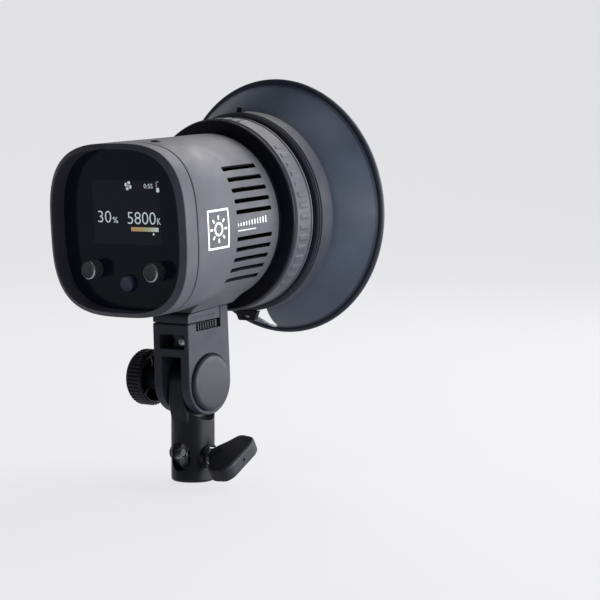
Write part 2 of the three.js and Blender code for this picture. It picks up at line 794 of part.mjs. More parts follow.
// Spun dish: a short sleeve inside the collar, a flare and a rolled bead at the rim. A
// tapered opening in its lower wall, in line with the yoke's umbrella hole, lets a shaft
// through; the bead runs on unbroken past it.
function reflectorDish() {
  const sleeveR = COLLAR_R - 2.6;
  const startY = COLLAR_Y1 + GAP;
  const flare = [];
  const steps = 4;
  for (let i = 0; i <= steps; i += 1) {
    const t = i / steps;
    const radius = COLLAR_R - 1 + (DISH_RIM_R - 2 - COLLAR_R + 1) * t;
    flare.push([radius, startY + DISH_SHEET + (DISH_RIM_Y - startY - DISH_SHEET) * t ** 1.15]);
  }
  const bead = [];
  for (let i = 0; i <= 5; i += 1) {
    const angle = Math.PI * (-0.75 + (1.5 * i) / 5);
    bead.push([DISH_RIM_R - BEAD_R + BEAD_R * Math.cos(angle), DISH_RIM_Y + BEAD_R * Math.sin(angle)]);
  }
  const outside = [[sleeveR - DISH_SHEET, SLEEVE_Y0], [sleeveR, SLEEVE_Y0], [sleeveR, startY]];
  const inside = flare.map(([radius, y]) => [radius - DISH_SHEET * 0.8, y + DISH_SHEET * 0.8]).reverse();
  const dish = turned([...outside, ...flare.slice(0, -1), ...bead, ...inside.slice(1), [
    sleeveR - DISH_SHEET,
    startY + DISH_SHEET,
  ]]);
  const opening = new THREE.Shape();
  opening.moveTo(UMBRELLA_X - 13, -COLLAR_R + 0.5);
  opening.lineTo(UMBRELLA_X - 5.5, -DISH_RIM_R + 8);
  opening.absarc(UMBRELLA_X, -DISH_RIM_R + 9, 5.5, Math.PI, 2 * Math.PI);
  opening.lineTo(UMBRELLA_X + 13, -COLLAR_R + 0.5);
  return cut(dish, extrudeY(opening, COLLAR_Y1 - 2, DISH_RIM_Y + 10));
}

place(barrel, "reflector_dish", reflectorDish(), "dish");
place(
  barrel,
  "reflector_collar",
  turned([
    [61, COLLAR_Y0],
    [COLLAR_R - 1.6, COLLAR_Y0],
    [COLLAR_R, COLLAR_Y0 + 2],
    [COLLAR_R, COLLAR_Y1],
    [COLLAR_R - 2.3, COLLAR_Y1],
    [COLLAR_R - 2.3, SLEEVE_Y0 - GAP],
    [61, SLEEVE_Y0 - GAP],
  ]),
  "darkPlastic",
);
place(barrel, "index_block", block(-1.7, 2.5, 64.5, 68, COLLAR_R + GAP, COLLAR_R + 3.6), "darkPlastic");

// Umbrella rest under the collar: a tapered tab with a small slot
function umbrellaTab() {
  const shape = new THREE.Shape();
  shape.moveTo(-10, -COLLAR_R - GAP);
  shape.lineTo(10, -COLLAR_R - GAP);
  shape.lineTo(7, -COLLAR_R - 7);
  shape.lineTo(-7, -COLLAR_R - 7);
  const slot = block(-3, 3, 55, 80, -COLLAR_R - 5, -COLLAR_R - 3.4);
  return cut(extrudeY(shape, 62, 66), slot);
}

place(barrel, "umbrella_tab", umbrellaTab(), "darkPlastic");

// ---------------------------------------------------------------- quick-release plate and yoke

function releasePlate() {
  const shape = new THREE.Shape();
  const noseR = 3;
  const noseTop = jointZ(PLATE_BACK_Y) - GAP;
  shape.moveTo(PLATE_BACK_Y, YOKE_TOP + GAP);
  shape.lineTo(LIP_Y - GAP, YOKE_TOP + GAP);
  shape.lineTo(LIP_Y - GAP, jointZ(LIP_Y) - GAP);
  shape.lineTo(PLATE_BACK_Y + noseR, noseTop);
  shape.absarc(PLATE_BACK_Y + noseR, noseTop - noseR, noseR, Math.PI / 2, Math.PI);
  const holes = PLATE_SCREW_YS.flatMap((y) => [
    moved(aboutZ(disc(1.9, YOKE_TOP - 2, PLATE_TOP + 2, SMALL)), 0, y, 0),
    moved(aboutZ(disc(3.6, YOKE_TOP - 2, YOKE_TOP + 3.4, SMALL)), 0, y, 0),
  ]);
  return cut(extrudeX(shape, -YOKE_HALF, YOKE_HALF, 0.4), ...holes);
}

function yoke() {
  const side = new THREE.Shape();
  side.moveTo(YOKE_BACK_Y, YOKE_TOP);
  side.lineTo(LIP_Y, YOKE_TOP);
  side.lineTo(LIP_Y, jointZ(LIP_Y) - GAP);
  side.lineTo(YOKE_FRONT_Y, jointZ(YOKE_FRONT_Y) - GAP);
  side.lineTo(ARM_END_R, 0);
  side.absarc(0, 0, ARM_END_R, 0, -Math.PI, true);
  const blank = extrudeX(side, -YOKE_HALF, YOKE_HALF, 0.6);
  const slotShape = new THREE.Shape();
  slotShape.moveTo(-30, -30);
  slotShape.lineTo(30, -30);
  slotShape.lineTo(30, ARM_GAP_TOP);
  slotShape.lineTo(-30, ARM_GAP_TOP);
  const slot = extrudeX(slotShape, -ARM_GAP_HALF, ARM_GAP_HALF);
  const boltHole = aboutX(disc(BOLT_R + GAP, -30, 30, SMALL));
  const capSeat = aboutX(disc(CAP_SEAT_R, YOKE_HALF - 1.6, YOKE_HALF + 2, FINE));
  const headSeat = aboutX(disc(BOLT_HEAD_R + 0.5, BOLT_HEAD_X - GAP, YOKE_HALF, MEDIUM));
  const recess = extrudeY(
    roundedRectangle(1, UMBRELLA_Z, 22, 10, 1.2),
    YOKE_BACK_Y - 2,
    YOKE_BACK_Y + RECESS_DEPTH,
  );
  const umbrella = moved(disc(UMBRELLA_HOLE_R, -40, 40, SMALL), UMBRELLA_X, 0, UMBRELLA_Z);
  const screwHole = moved(disc(1.9, -20, -4, SMALL), SCREW_X, 0, UMBRELLA_Z);
  const latchWindow = block(
    9.5,
    YOKE_HALF + 2,
    LATCH_Y0 - GAP,
    LATCH_Y1 + LATCH_TRAVEL + GAP,
    LATCH_LOW_Z - 0.4,
    YOKE_TOP + 1,
  );
  return cut(blank, slot, boltHole, capSeat, headSeat, recess, umbrella, screwHole, latchWindow);
}

// Release latch: a slider in the yoke's side with upright ribs for a thumb
function releaseLatch() {
  const slider = block(9.9, YOKE_HALF - 0.6, LATCH_Y0, LATCH_Y1, LATCH_LOW_Z, YOKE_TOP - GAP);
  const ribs = [];
  for (let y = LATCH_Y0 + 1; y < LATCH_Y1 - LATCH_RIB_WIDTH; y += LATCH_RIB_PITCH) {
    const end = y + LATCH_RIB_WIDTH;
    ribs.push(block(YOKE_HALF - 1, YOKE_HALF + 0.4, y, end, LATCH_LOW_Z + 0.2, YOKE_TOP - 0.5));
  }
  return unite(slider, ...ribs);
}

place(head, "quick_release_plate", releasePlate(), "darkPlastic");
place(head, "yoke", yoke(), "darkPlastic");
place(head, "release_latch", releaseLatch(), "blackPlastic");
for (const [name, y] of [["plate_screw_rear", PLATE_SCREW_YS[0]], ["plate_screw_front", PLATE_SCREW_YS[1]]]) {
  const screw = turned([[0, 0], [3.2, 0], [3.2, 2.4], [1.5, 2.4], [1.5, 9.6], [0, 9.6]], SMALL);
  place(head, name, moved(aboutZ(screw), 0, y, YOKE_TOP + 0.6), "steel");
}
place(
  head,
  "yoke_screw",
  moved(
    turned([[0, -19.2], [2.6, -19.2], [3.2, -18.4], [3.2, -16.4], [1.5, -16.4], [1.5, -5], [0, -5]], SMALL),
    SCREW_X,
    0,
    UMBRELLA_Z,
  ),
  "steel",
);

// ---------------------------------------------------------------- tilt pivot

place(
  head,
  "tilt_bolt",
  aboutX(turned([
    [0, BOLT_END_X],
    [BOLT_R, BOLT_END_X],
    [BOLT_R, BOLT_HEAD_X],
    [BOLT_HEAD_R, BOLT_HEAD_X],
    [BOLT_HEAD_R, YOKE_HALF - 2],
    [0, YOKE_HALF - 2],
  ], SMALL)),
  "steel",
);
place(
  head,
  "pivot_cap",
  aboutX(turned([
    [0, YOKE_HALF - 1.3],
    [CAP_R, YOKE_HALF - 1.3],
    [CAP_R, YOKE_HALF + CAP_PROUD - 2.3],
    [CAP_R - 0.9, YOKE_HALF + CAP_PROUD - 0.9],
    [CAP_R - 2.8, YOKE_HALF + CAP_PROUD - 0.1],
    [0, YOKE_HALF + CAP_PROUD],
  ], 30)),
  "darkPlastic",
);

// Hand knob: a closed outer disc, a rim and a hub joined by six webs, open towards the yoke
function tiltKnob() {
  const rim = aboutX(turned([
    [TILT_KNOB_R - TILT_RIM_WALL, TILT_KNOB_X0 + 1],
    [TILT_KNOB_R - 1.2, TILT_KNOB_X0],
    [TILT_KNOB_R, TILT_KNOB_X0 + 1.2],
    [TILT_KNOB_R, TILT_KNOB_X1],
    [TILT_KNOB_R - TILT_RIM_WALL, TILT_KNOB_X1],
  ], 30));
  const face = aboutX(disc(TILT_KNOB_R - 1.5, TILT_KNOB_X0, TILT_KNOB_X0 + 2.5, 30));
  const hub = aboutX(disc(TILT_HUB_R, TILT_KNOB_X0 + 1, -YOKE_HALF - GAP, MEDIUM));
  const webs = [];
  for (let i = 0; i < 6; i += 1) {
    const web = block(TILT_KNOB_X0 + 1, TILT_KNOB_X1 - 1.5, -1, 1, TILT_HUB_R - 1, TILT_KNOB_R - 2);
    webs.push(web.rotate([60 * i + 15, 0, 0]));
  }
  const bore = aboutX(disc(BOLT_R + GAP, BOLT_END_X - 1, 0, SMALL));
  const nutPocket = aboutX(disc(NUT_R + 0.4, NUT_X0 - 0.4, -YOKE_HALF + 2, 6));
  return cut(unite(rim, face, hub, ...webs), bore, nutPocket);
}

place(head, "tilt_knob", tiltKnob(), "blackPlastic");
place(
  head,
  "knob_nut",
  cut(aboutX(disc(NUT_R, NUT_X0, -YOKE_HALF - 1, 6)), aboutX(disc(BOLT_R + GAP, -40, 0, SMALL))),
  "steel",
);

// ---------------------------------------------------------------- stand adaptor

function standAdaptor() {
  const tube = aboutZ(turned([
    [0, 0],
    [ADAPTOR_R - 1, 0],
    [ADAPTOR_R, 1],
    [ADAPTOR_R, ADAPTOR_TOP],
    [0, ADAPTOR_TOP],
  ], 30));
  const neck = aboutZ(loft(NECK_STATIONS.map((station) => section(...station))));
  const seats = [0, 180].map((turn) => {
    const seat = aboutX(turned([
      [0, KNUCKLE_HALF],
      [SEAT_R, KNUCKLE_HALF],
      [SEAT_R, SEAT_FLOOR_X],
      [SEAT_RIM_R, ADAPTOR_R + 2],
      [0, ADAPTOR_R + 2],
    ], 40));
    return moved(seat.rotate([0, 0, turn]), 0, 0, PIVOT_Z);
  });
  const web = new THREE.Shape();
  web.moveTo(-WEB_SIDE[0][0], WEB_SIDE[0][1]);
  for (const [y, z] of WEB_SIDE) web.lineTo(y, z);
  web.absarc(0, PIVOT_Z, KNUCKLE_R, 0, Math.PI);
  for (const [y, z] of WEB_SIDE.slice(1).reverse()) web.lineTo(-y, z);
  const stem = cut(unite(tube, neck), ...seats);
  const body = unite(stem, extrudeX(web, -KNUCKLE_HALF, KNUCKLE_HALF));
  const socket = aboutZ(turned([
    [0, -1],
    [SPIGOT_BORE_R + 1, -1],
    [SPIGOT_BORE_R, 1],
    [SPIGOT_BORE_R, SPIGOT_DEPTH],
    [0, SPIGOT_DEPTH],
  ], MEDIUM));
  const cross = moved(disc(SPIGOT_BORE_R, -30, 30, MEDIUM), 0, 0, CLAMP_Z);
  const sink = turned([
    [0, -16],
    [SPIGOT_BORE_R + 2.2, -16],
    [SPIGOT_BORE_R - 0.1, -11.5],
    [0, -11.5],
  ], MEDIUM);
  const sinks = [0, 180].map((turn) => moved(sink.rotate([0, 0, turn]), 0, 0, CLAMP_Z));
  const bolt = moved(aboutX(disc(BOLT_R + GAP, -30, 30, SMALL)), 0, 0, PIVOT_Z);
  const clampHole = moved(aboutX(disc(CLAMP_HOLE_R, 0, 30, SMALL)), 0, 0, CLAMP_Z);
  const pinHole = moved(aboutX(disc(PIN_HOLE_R, -30, 0, SMALL)), 0, 0, CLAMP_Z);
  return cut(body, socket, cross, ...sinks, bolt, clampHole, pinHole);
}

place(light, "stand_adaptor", standAdaptor(), "blackPlastic");
for (const [name, x0] of [["friction_washer_left", -8.3], ["friction_washer_right", 7.2]]) {
  const washer = aboutX(ring(BOLT_R + GAP, WASHER_R, x0, x0 + 1.1, MEDIUM));
  place(light, name, moved(washer, 0, 0, PIVOT_Z), "rubber");
}
place(
  light,
  "stop_pin",
  moved(
    aboutX(turned([
      [0, -17.4],
      [4.8, -17.4],
      [5.6, -16.6],
      [5.6, -ADAPTOR_R - GAP],
      [2.5, -ADAPTOR_R - GAP],
      [2.5, -8.6],
      [0, -8.6],
    ], SMALL)),
    0,
    0,
    CLAMP_Z,
  ),
  "steel",
);

// ---------------------------------------------------------------- spigot clamp

place(
  light,
  "clamp_screw",
  moved(
    aboutX(turned([
      [0, 10.3],
      [4.9, 10.3],
      [4.9, ADAPTOR_R + GAP],
      [5.8, ADAPTOR_R + GAP],
      [5.8, COLLAR_OUT_X],
      [3.5, COLLAR_OUT_X],
      [3.5, 27],
      [0, 27],
    ], SMALL)),
    0,
    0,
    CLAMP_Z,
  ),
  "steel",
);
place(light, "clamp_pad", moved(aboutX(disc(4.6, 8.5, 10, SMALL)), 0, 0, CLAMP_Z), "brass");

// Wing handle: it widens from the screw's collar into a thick crossbar
function clampHandle() {
  const shape = new THREE.Shape();
  shape.moveTo(COLLAR_OUT_X + GAP, -HANDLE_HALF);
  shape.lineTo(24.8, -10);
  shape.lineTo(30, -18.2);
  shape.quadraticCurveTo(31.4, -20.4, 34, -20.4);
  shape.lineTo(40.5, -19.6);
  shape.quadraticCurveTo(HANDLE_END_X + 0.2, -19, HANDLE_END_X, -14);
  shape.lineTo(HANDLE_END_X, 14);
  shape.quadraticCurveTo(HANDLE_END_X + 0.2, 19, 40.5, 19.6);
  shape.lineTo(34, 20.4);
  shape.quadraticCurveTo(31.4, 20.4, 30, 18.2);
  shape.lineTo(24.8, 10);
  shape.lineTo(COLLAR_OUT_X + GAP, HANDLE_HALF);
  const edge = 1.6;
  const geometry = new THREE.ExtrudeGeometry(shape, extrusion(2 * HANDLE_HALF, edge));
  geometry.translate(0, 0, edge - HANDLE_HALF);
  const wing = solid(geometry);
  const bore = aboutX(disc(HANDLE_BORE_R, 10, 27.4, SMALL));
  const dimple = aboutX(disc(1.1, HANDLE_END_X - 4, HANDLE_END_X + 5, SMALL));
  return cut(wing, bore, dimple).rotate([HANDLE_ANGLE, 0, 0]);
}
place(light, "clamp_handle", moved(clampHandle(), 0, 0, CLAMP_Z), "blackPlastic");

export default light;
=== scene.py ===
"""LED monolight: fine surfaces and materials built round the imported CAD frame.

Shapes are written in millimetres in the frame of the part they belong to: STAND is the row
frame, HEAD tilts with the yoke about the pivot bolt, and BARREL is centred on the light axis,
which is its Y. A turned piece has its own frame whose Y is the axis that it is turned about.
"""

import math

import bmesh
import bpy
from mathutils import Matrix, Vector


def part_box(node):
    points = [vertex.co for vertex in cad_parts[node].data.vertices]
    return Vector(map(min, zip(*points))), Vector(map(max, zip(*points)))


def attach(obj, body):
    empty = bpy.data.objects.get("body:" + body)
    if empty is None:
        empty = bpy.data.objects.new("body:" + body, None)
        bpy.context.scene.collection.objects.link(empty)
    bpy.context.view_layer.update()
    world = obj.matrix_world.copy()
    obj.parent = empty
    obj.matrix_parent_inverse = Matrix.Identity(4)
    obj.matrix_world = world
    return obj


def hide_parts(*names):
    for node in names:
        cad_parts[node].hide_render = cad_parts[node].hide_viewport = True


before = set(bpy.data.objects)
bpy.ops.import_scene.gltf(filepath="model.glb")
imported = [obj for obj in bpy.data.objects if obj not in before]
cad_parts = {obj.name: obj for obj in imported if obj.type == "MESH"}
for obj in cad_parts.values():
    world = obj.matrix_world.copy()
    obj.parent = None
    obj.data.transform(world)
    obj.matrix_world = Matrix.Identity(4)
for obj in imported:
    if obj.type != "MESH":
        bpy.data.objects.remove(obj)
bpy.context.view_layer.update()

MM = 0.001
HEAD_TILT = math.radians(4)


# ---------------------------------------------------------------- frames and sizes


def centre(node):
    low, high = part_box(node)
    return (low + high) / 2


STAND = Matrix.Identity(4)
PIVOT = Vector((0, 0, centre("tilt_bolt").z))
HEAD = Matrix.Translation(PIVOT) @ Matrix.Rotation(HEAD_TILT, 4, "X")
AXIS_HEIGHT = (HEAD.inverted() @ centre("front_glass")).z
BARREL = HEAD @ Matrix.Translation((0, 0, AXIS_HEIGHT))
Y_TO_X = Matrix.Rotation(-math.pi / 2, 4, "Z")
Y_TO_Z = Matrix.Rotation(math.pi / 2, 4, "X")


def at(place, x, y, z):
    """The frame place, moved by millimetres along its own axes."""
    return place @ Matrix.Translation(Vector((x, y, z)) * MM)


def extent(node, place):
    """Lowest and highest corner of a CAD node in a frame of this script, in millimetres."""
    inverse = place.inverted()
    points = [inverse @ v.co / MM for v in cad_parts[node].data.vertices]
    low = Vector([min(p[i] for p in points) for i in range(3)])
    high = Vector([max(p[i] for p in points) for i in range(3)])
    return low, high


# ---------------------------------------------------------------- mesh helpers


def bent(start, bend, end, t):
    """Point a share t of the way along a curve from start to end that is pulled towards bend."""
    return start * (1 - t) ** 2 + bend * 2 * t * (1 - t) + end * t * t


def eased(corners, steps=4):
    """Outline through (a, b) or (a, b, ease) corners; ease rounds a corner that far along its sides."""
    points = []
    count = len(corners)
    for i, corner in enumerate(corners):
        here = Vector(corner[:2])
        if len(corner) < 3:
            points.append(here)
            continue
        before = Vector(corners[i - 1][:2]) - here
        after = Vector(corners[(i + 1) % count][:2]) - here
        start = here + before.normalized() * min(corner[2], before.length * 0.49)
        end = here + after.normalized() * min(corner[2], after.length * 0.49)
        points += [bent(start, here, end, k / steps) for k in range(steps + 1)]
    return points


def skin(rings, closed):
    """Bmesh through rings of points; a ring of one point is a pole. closed joins last to first."""
    bm = bmesh.new()
    rows = [[bm.verts.new(Vector(p) * MM) for p in ring] for ring in rings]
    pairs = list(zip(rows, rows[1:] + rows[:1])) if closed else list(zip(rows, rows[1:]))
    for a, b in pairs:
        count = max(len(a), len(b))
        for i in range(count):
            j = (i + 1) % count
            corners = [a[i % len(a)], a[j % len(a)], b[j % len(b)], b[i % len(b)]]
            distinct = list(dict.fromkeys(corners))
            if len(distinct) > 2:
                bm.faces.new(distinct)
    if not closed:
        for row in (rows[0], rows[-1]):
            if len(row) > 2:
                bm.faces.new(row)
    bmesh.ops.recalc_face_normals(bm, faces=bm.faces)
    return bm


def turned(profile, segments, ripple=None):
    """Bmesh turned about Y from an eased outline of (radius, y).

    ripple(angle, radius, y), where it is given, returns the radius to use instead.
    """
    outline = eased(profile)
    rings = []
    for radius, y in outline:
        if radius < 1e-6:
            rings.append([(0, y, 0)])
            continue
        ring = []
        for i in range(segments):
            angle = 2 * math.pi * i / segments
            reach = ripple(angle, radius, y) if ripple else radius
            ring.append((reach * math.sin(angle), y, reach * math.cos(angle)))
        rings.append(ring)
    on_axis = len(rings[0]) == 1 and len(rings[-1]) == 1
    return skin(rings, not on_axis)


def cylinder(radius, low, high, segments=96):
    return turned([(0, low), (radius, low), (radius, high), (0, high)], segments)


def arc(cx, cy, radius, start, end, steps):
    """Points on an arc, angles in degrees."""
    points = []
    for i in range(steps + 1):
        angle = math.radians(start + (end - start) * i / steps)
        points.append((cx + radius * math.cos(angle), cy + radius * math.sin(angle)))
    return points


def box_outline(x0, x1, z0, z1, ease=0.0):
    corners = [(x0, z0), (x1, z0), (x1, z1), (x0, z1)]
    return [corner + (ease,) for corner in corners] if ease else corners


AXES = {"X": (1, 2, 0), "Y": (0, 2, 1), "Z": (0, 1, 2)}


def inset(points, distance):
    """A closed outline moved inwards by a distance."""
    doubled_area = sum(a.x * b.y - b.x * a.y for a, b in zip(points, points[1:] + points[:1]))
    side = 1 if doubled_area > 0 else -1
    result = []
    for i, here in enumerate(points):
        before = (here - points[i - 1]).normalized()
        after = (points[(i + 1) % len(points)] - here).normalized()
        inward = Vector((-before.y - after.y, before.x + after.x)) * side
        result.append(here + inward * distance / max(0.3, 1 + before.dot(after)))
    return result


def rounded_for(outline, rim):
    """The outline with every real corner eased enough to be moved inwards by rim."""
    result = []
    for i, corner in enumerate(outline):
        here = Vector(corner[:2])
        before = here - Vector(outline[i - 1][:2])
        after = Vector(outline[(i + 1) % len(outline)][:2]) - here
        least = 1.5 * rim if before.angle(after) > 0.5 else 0
        ease = max(least, corner[2] if len(corner) > 2 else 0)
        result.append((*corner[:2], ease) if ease else corner)
    return result


def prism(outline, low, high, axis, rim=0.0, steps=3):
    """Bmesh of an eased outline pushed from low to high along an axis; rim rounds its end edges."""
    first, second, depth = AXES[axis]
    points = eased(rounded_for(outline, rim) if rim else outline)
    levels = [(low, 0.0), (high, 0.0)]
    if rim:
        bends = [i * math.pi / 2 / steps for i in range(steps + 1)]
        curve = [(rim * (1 - math.sin(a)), rim * (1 - math.cos(a))) for a in bends]
        levels = [(low + rise, inward) for rise, inward in reversed(curve)]
        levels += [(high - rise, inward) for rise, inward in curve]
    rings = []
    for level, inward in levels:
        ring = []
        for a, b in inset(points, inward) if inward else points:
            co = [0, 0, 0]
            co[first], co[second], co[depth] = a, b, level
            ring.append(co)
        rings.append(ring)
    return skin(rings, False)


def joined(*parts):
    """One bmesh holding several separate closed ones."""
    whole = parts[0]
    for part in parts[1:]:
        mesh = bpy.data.meshes.new("part")
        part.to_mesh(mesh)
        part.free()
        whole.from_mesh(mesh)
        bpy.data.meshes.remove(mesh)
    return whole


def shifted(bm, matrix):
    bmesh.ops.transform(bm, matrix=matrix, verts=bm.verts)
    return bm


def moved(bm, x, y, z):
    return shifted(bm, Matrix.Translation(Vector((x, y, z)) * MM))


def scratch_object(bm):
    mesh = bpy.data.meshes.new("scratch")
    bm.to_mesh(mesh)
    bm.free()
    obj = bpy.data.objects.new("scratch", mesh)
    bpy.context.scene.collection.objects.link(obj)
    return obj


def baked(obj):
    """Bmesh of an object with its modifiers applied."""
    evaluated = obj.evaluated_get(bpy.context.evaluated_depsgraph_get())
    bm = bmesh.new()
    bm.from_mesh(evaluated.to_mesh())
    evaluated.to_mesh_clear()
    return bm


def remove_scratch(objects):
    for obj in objects:
        mesh = obj.data
        bpy.data.objects.remove(obj)
        bpy.data.meshes.remove(mesh)


def boolean(bm, operation, tools):
    """bm after UNION or DIFFERENCE with each tool in turn; the tools are used up."""
    body = scratch_object(bm)
    helpers = [scratch_object(tool) for tool in tools]
    for helper in helpers:
        step = body.modifiers.new("boolean", "BOOLEAN")
        step.operation = operation
        step.solver = "EXACT"
        step.object = helper
    result = baked(body)
    remove_scratch([body, *helpers])
    return result


def cut(bm, *tools):
    return boolean(bm, "DIFFERENCE", tools)


def united(bm, *others):
    return boolean(bm, "UNION", others)


def bevel(bm, edges, width, steps, profile, **options):
    bmesh.ops.bevel(
        bm, geom=edges, offset=width * MM, segments=steps, profile=profile, affect="EDGES",
        clamp_overlap=False, **options,
    )


def softened(bm, width, sharper_than, steps=2):
    """Rounds the edges of bm that turn by more than an angle in degrees."""
    bmesh.ops.remove_doubles(bm, verts=bm.verts, dist=0.01 * MM)
    bmesh.ops.dissolve_degenerate(bm, edges=bm.edges, dist=0.01 * MM)
    bmesh.ops.dissolve_limit(bm, angle_limit=math.radians(0.5), verts=bm.verts, edges=bm.edges)
    limit = math.radians(sharper_than)
    edges = [e for e in bm.edges if e.is_manifold and e.calc_face_angle() > limit]
    bevel(bm, edges, width, steps, 0.6, miter_outer="ARC")
    return bm


def outwards(face):
    """How squarely a face looks away from the Y axis: 1 straight out, 0 sideways, -1 straight in."""
    middle = face.calc_center_median()
    return (face.normal.x * middle.x + face.normal.z * middle.z) / math.hypot(middle.x, middle.z)


def piece(name, bm, place, body, paint, replaces=(), smooth=32, flat_faces=True):
    """A finished object: bm in the frame place, riding on a CAD body.

    paint is a material or a list of them; smooth is the angle in degrees that is still shaded round.
    """
    mesh = bpy.data.meshes.new(name)
    bm.to_mesh(mesh)
    bm.free()
    mesh.shade_smooth()
    mesh.set_sharp_from_angle(angle=math.radians(smooth))
    obj = bpy.data.objects.new(name, mesh)
    bpy.context.scene.collection.objects.link(obj)
    obj.matrix_world = place
    for material in paint if isinstance(paint, list) else [paint]:
        mesh.materials.append(material)
    if flat_faces:
        even = obj.modifiers.new("even_normals", "WEIGHTED_NORMAL")
        even.keep_sharp = True
    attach(obj, body)
    if replaces:
        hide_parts(*replaces)
    return obj


# ---------------------------------------------------------------- materials


class Paint:
    """A Principled material with short calls for procedural detail in object space."""

    def __init__(self, name, colour, roughness, metallic=0.0, specular=0.5):
        self.material = bpy.data.materials.new(name)
        self.material.use_nodes = True
        self.tree = self.material.node_tree
        self.shader = self.tree.nodes["Principled BSDF"]
        self.colour = colour
        self.shader.inputs["Base Color"].default_value = (*colour, 1)
        self.shader.inputs["Roughness"].default_value = roughness
        self.shader.inputs["Metallic"].default_value = metallic
        self.shader.inputs["Specular IOR Level"].default_value = specular
        self.position = self.add("ShaderNodeTexCoord").outputs["Object"]

    def add(self, kind, **settings):
        node = self.tree.nodes.new(kind)
        for key, value in settings.items():
            setattr(node, key, value)
        return node

    def link(self, source, target):
        self.tree.links.new(source, target)

    def feed(self, value, socket):
        """Sets a socket to a colour, or links an output to it."""
        if isinstance(value, tuple):
            socket.default_value = (*value, 1)
        else:
            self.link(value, socket)

    def noise(self, per_mm, detail=3.0, stretch=(1, 1, 1)):
        """Noise with about per_mm features in a millimetre."""
        mapping = self.add("ShaderNodeMapping")
        mapping.inputs["Scale"].default_value = stretch
        self.link(self.position, mapping.inputs["Vector"])
        node = self.add("ShaderNodeTexNoise")
        node.inputs["Scale"].default_value = per_mm / MM
        node.inputs["Detail"].default_value = detail
        self.link(mapping.outputs["Vector"], node.inputs["Vector"])
        return node.outputs["Fac"]

    def ramp(self, factor, *stops):
        node = self.add("ShaderNodeValToRGB")
        elements = node.color_ramp.elements
        while len(elements) < len(stops):
            elements.new(0.5)
        for element, (position, colour) in zip(elements, stops):
            element.position = position
            element.color = (*colour, 1) if len(colour) == 3 else colour
        self.link(factor, node.inputs["Fac"])
        return node.outputs["Color"]

    def spread(self, factor, low, high):
        """factor, which mostly lies between 0.3 and 0.7, stretched to run from low to high."""
        node = self.add("ShaderNodeMapRange")
        node.inputs["From Min"].default_value = 0.3
        node.inputs["From Max"].default_value = 0.7
        node.inputs["To Min"].default_value = low
        node.inputs["To Max"].default_value = high
        self.link(factor, node.inputs["Value"])
        return node.outputs["Result"]

    def blend(self, factor, a, b, blend_type="MIX"):
        """Colour a where factor is 0 and b where it is 1. Factor is a number or an output."""
        node = self.add("ShaderNodeMix", data_type="RGBA", blend_type=blend_type)
        if isinstance(factor, float):
            node.inputs["Factor"].default_value = factor
        else:
            self.link(factor, node.inputs["Factor"])
        for name, value in (("A", a), ("B", b)):
            self.feed(value, next(s for s in node.inputs if s.name == name and s.type == "RGBA"))
        return next(s for s in node.outputs if s.type == "RGBA")

    def mottle(self, per_mm, amount):
        """Colour that drifts lighter and darker by a share."""
        dark = tuple(c * (1 - amount) for c in self.colour)
        light = tuple(c * (1 + amount) for c in self.colour)
        return self.ramp(self.noise(per_mm), (0.35, dark), (0.65, light))

    def base(self, socket):
        self.link(socket, self.shader.inputs["Base Color"])

    def rough(self, socket):
        self.link(socket, self.shader.inputs["Roughness"])

    def glow(self, light, strength=1.0):
        self.feed(light, self.shader.inputs["Emission Color"])
        self.shader.inputs["Emission Strength"].default_value = strength

    def bump(self, height, depth_mm, strength):
        node = self.add("ShaderNodeBump")
        node.inputs["Strength"].default_value = strength
        node.inputs["Distance"].default_value = depth_mm * MM
        self.link(height, node.inputs["Height"])
        self.link(node.outputs["Normal"], self.shader.inputs["Normal"])


def srgb(red, green, blue):
    """Linear colour from 0 to 255 display values."""
    def linear(value):
        value /= 255
        return value / 12.92 if value <= 0.04045 else ((value + 0.055) / 1.055) ** 2.4
    return (linear(red), linear(green), linear(blue))


def moulded(name, colour, roughness, grain_mm=0.35, depth_mm=0.02, mottle=0.06, specular=0.5):
    """Spark-textured plastic: fine grain in the surface, drifting tone and sheen."""
    paint = Paint(name, colour, roughness, specular=specular)
    grain = paint.noise(1 / grain_mm, detail=2)
    fine = paint.ramp(grain, (0.35, (0.9, 0.9, 0.9)), (0.65, (1.1, 1.1, 1.1)))
    paint.base(paint.blend(0.6, paint.mottle(0.05, mottle), fine, blend_type="MULTIPLY"))
    paint.rough(paint.spread(paint.noise(0.08), roughness - 0.05, roughness + 0.06))
    paint.bump(grain, depth_mm, strength=0.5)
    return paint.material


def metal(name, colour, roughness, stretch=(1, 1, 1), per_mm=2.0):
    """Machined or plated metal with faint tool marks along one direction."""
    paint = Paint(name, colour, roughness, metallic=1.0)
    marks = paint.noise(per_mm, detail=4, stretch=stretch)
    paint.base(paint.mottle(0.12, 0.1))
    paint.rough(paint.spread(marks, roughness - 0.07, roughness + 0.1))
    paint.bump(marks, 0.004, strength=0.6)
    return paint.material


def glossy_panel(name, colour, glow):
    """Black glass with faint smears; glow is a lit display's backlight, and on the plain panel painted light.
    """
    paint = Paint(name, colour, 0.12, specular=0.07)
    smear = paint.noise(0.045, detail=5, stretch=(1, 1, 0.4))
    paint.base(paint.mottle(0.02, 0.08))
    paint.rough(paint.spread(smear, 0.09, 0.2))
    paint.glow(glow)
    return paint.material


def lit(name, colour):
    """Display ink: light with a fine unevenness."""
    paint = Paint(name, tuple(c * 0.2 for c in colour), 0.3)
    dim = tuple(c * 0.85 for c in colour)
    paint.glow(paint.ramp(paint.noise(6.0, detail=0), (0.3, dim), (0.7, colour)))
    return paint.material


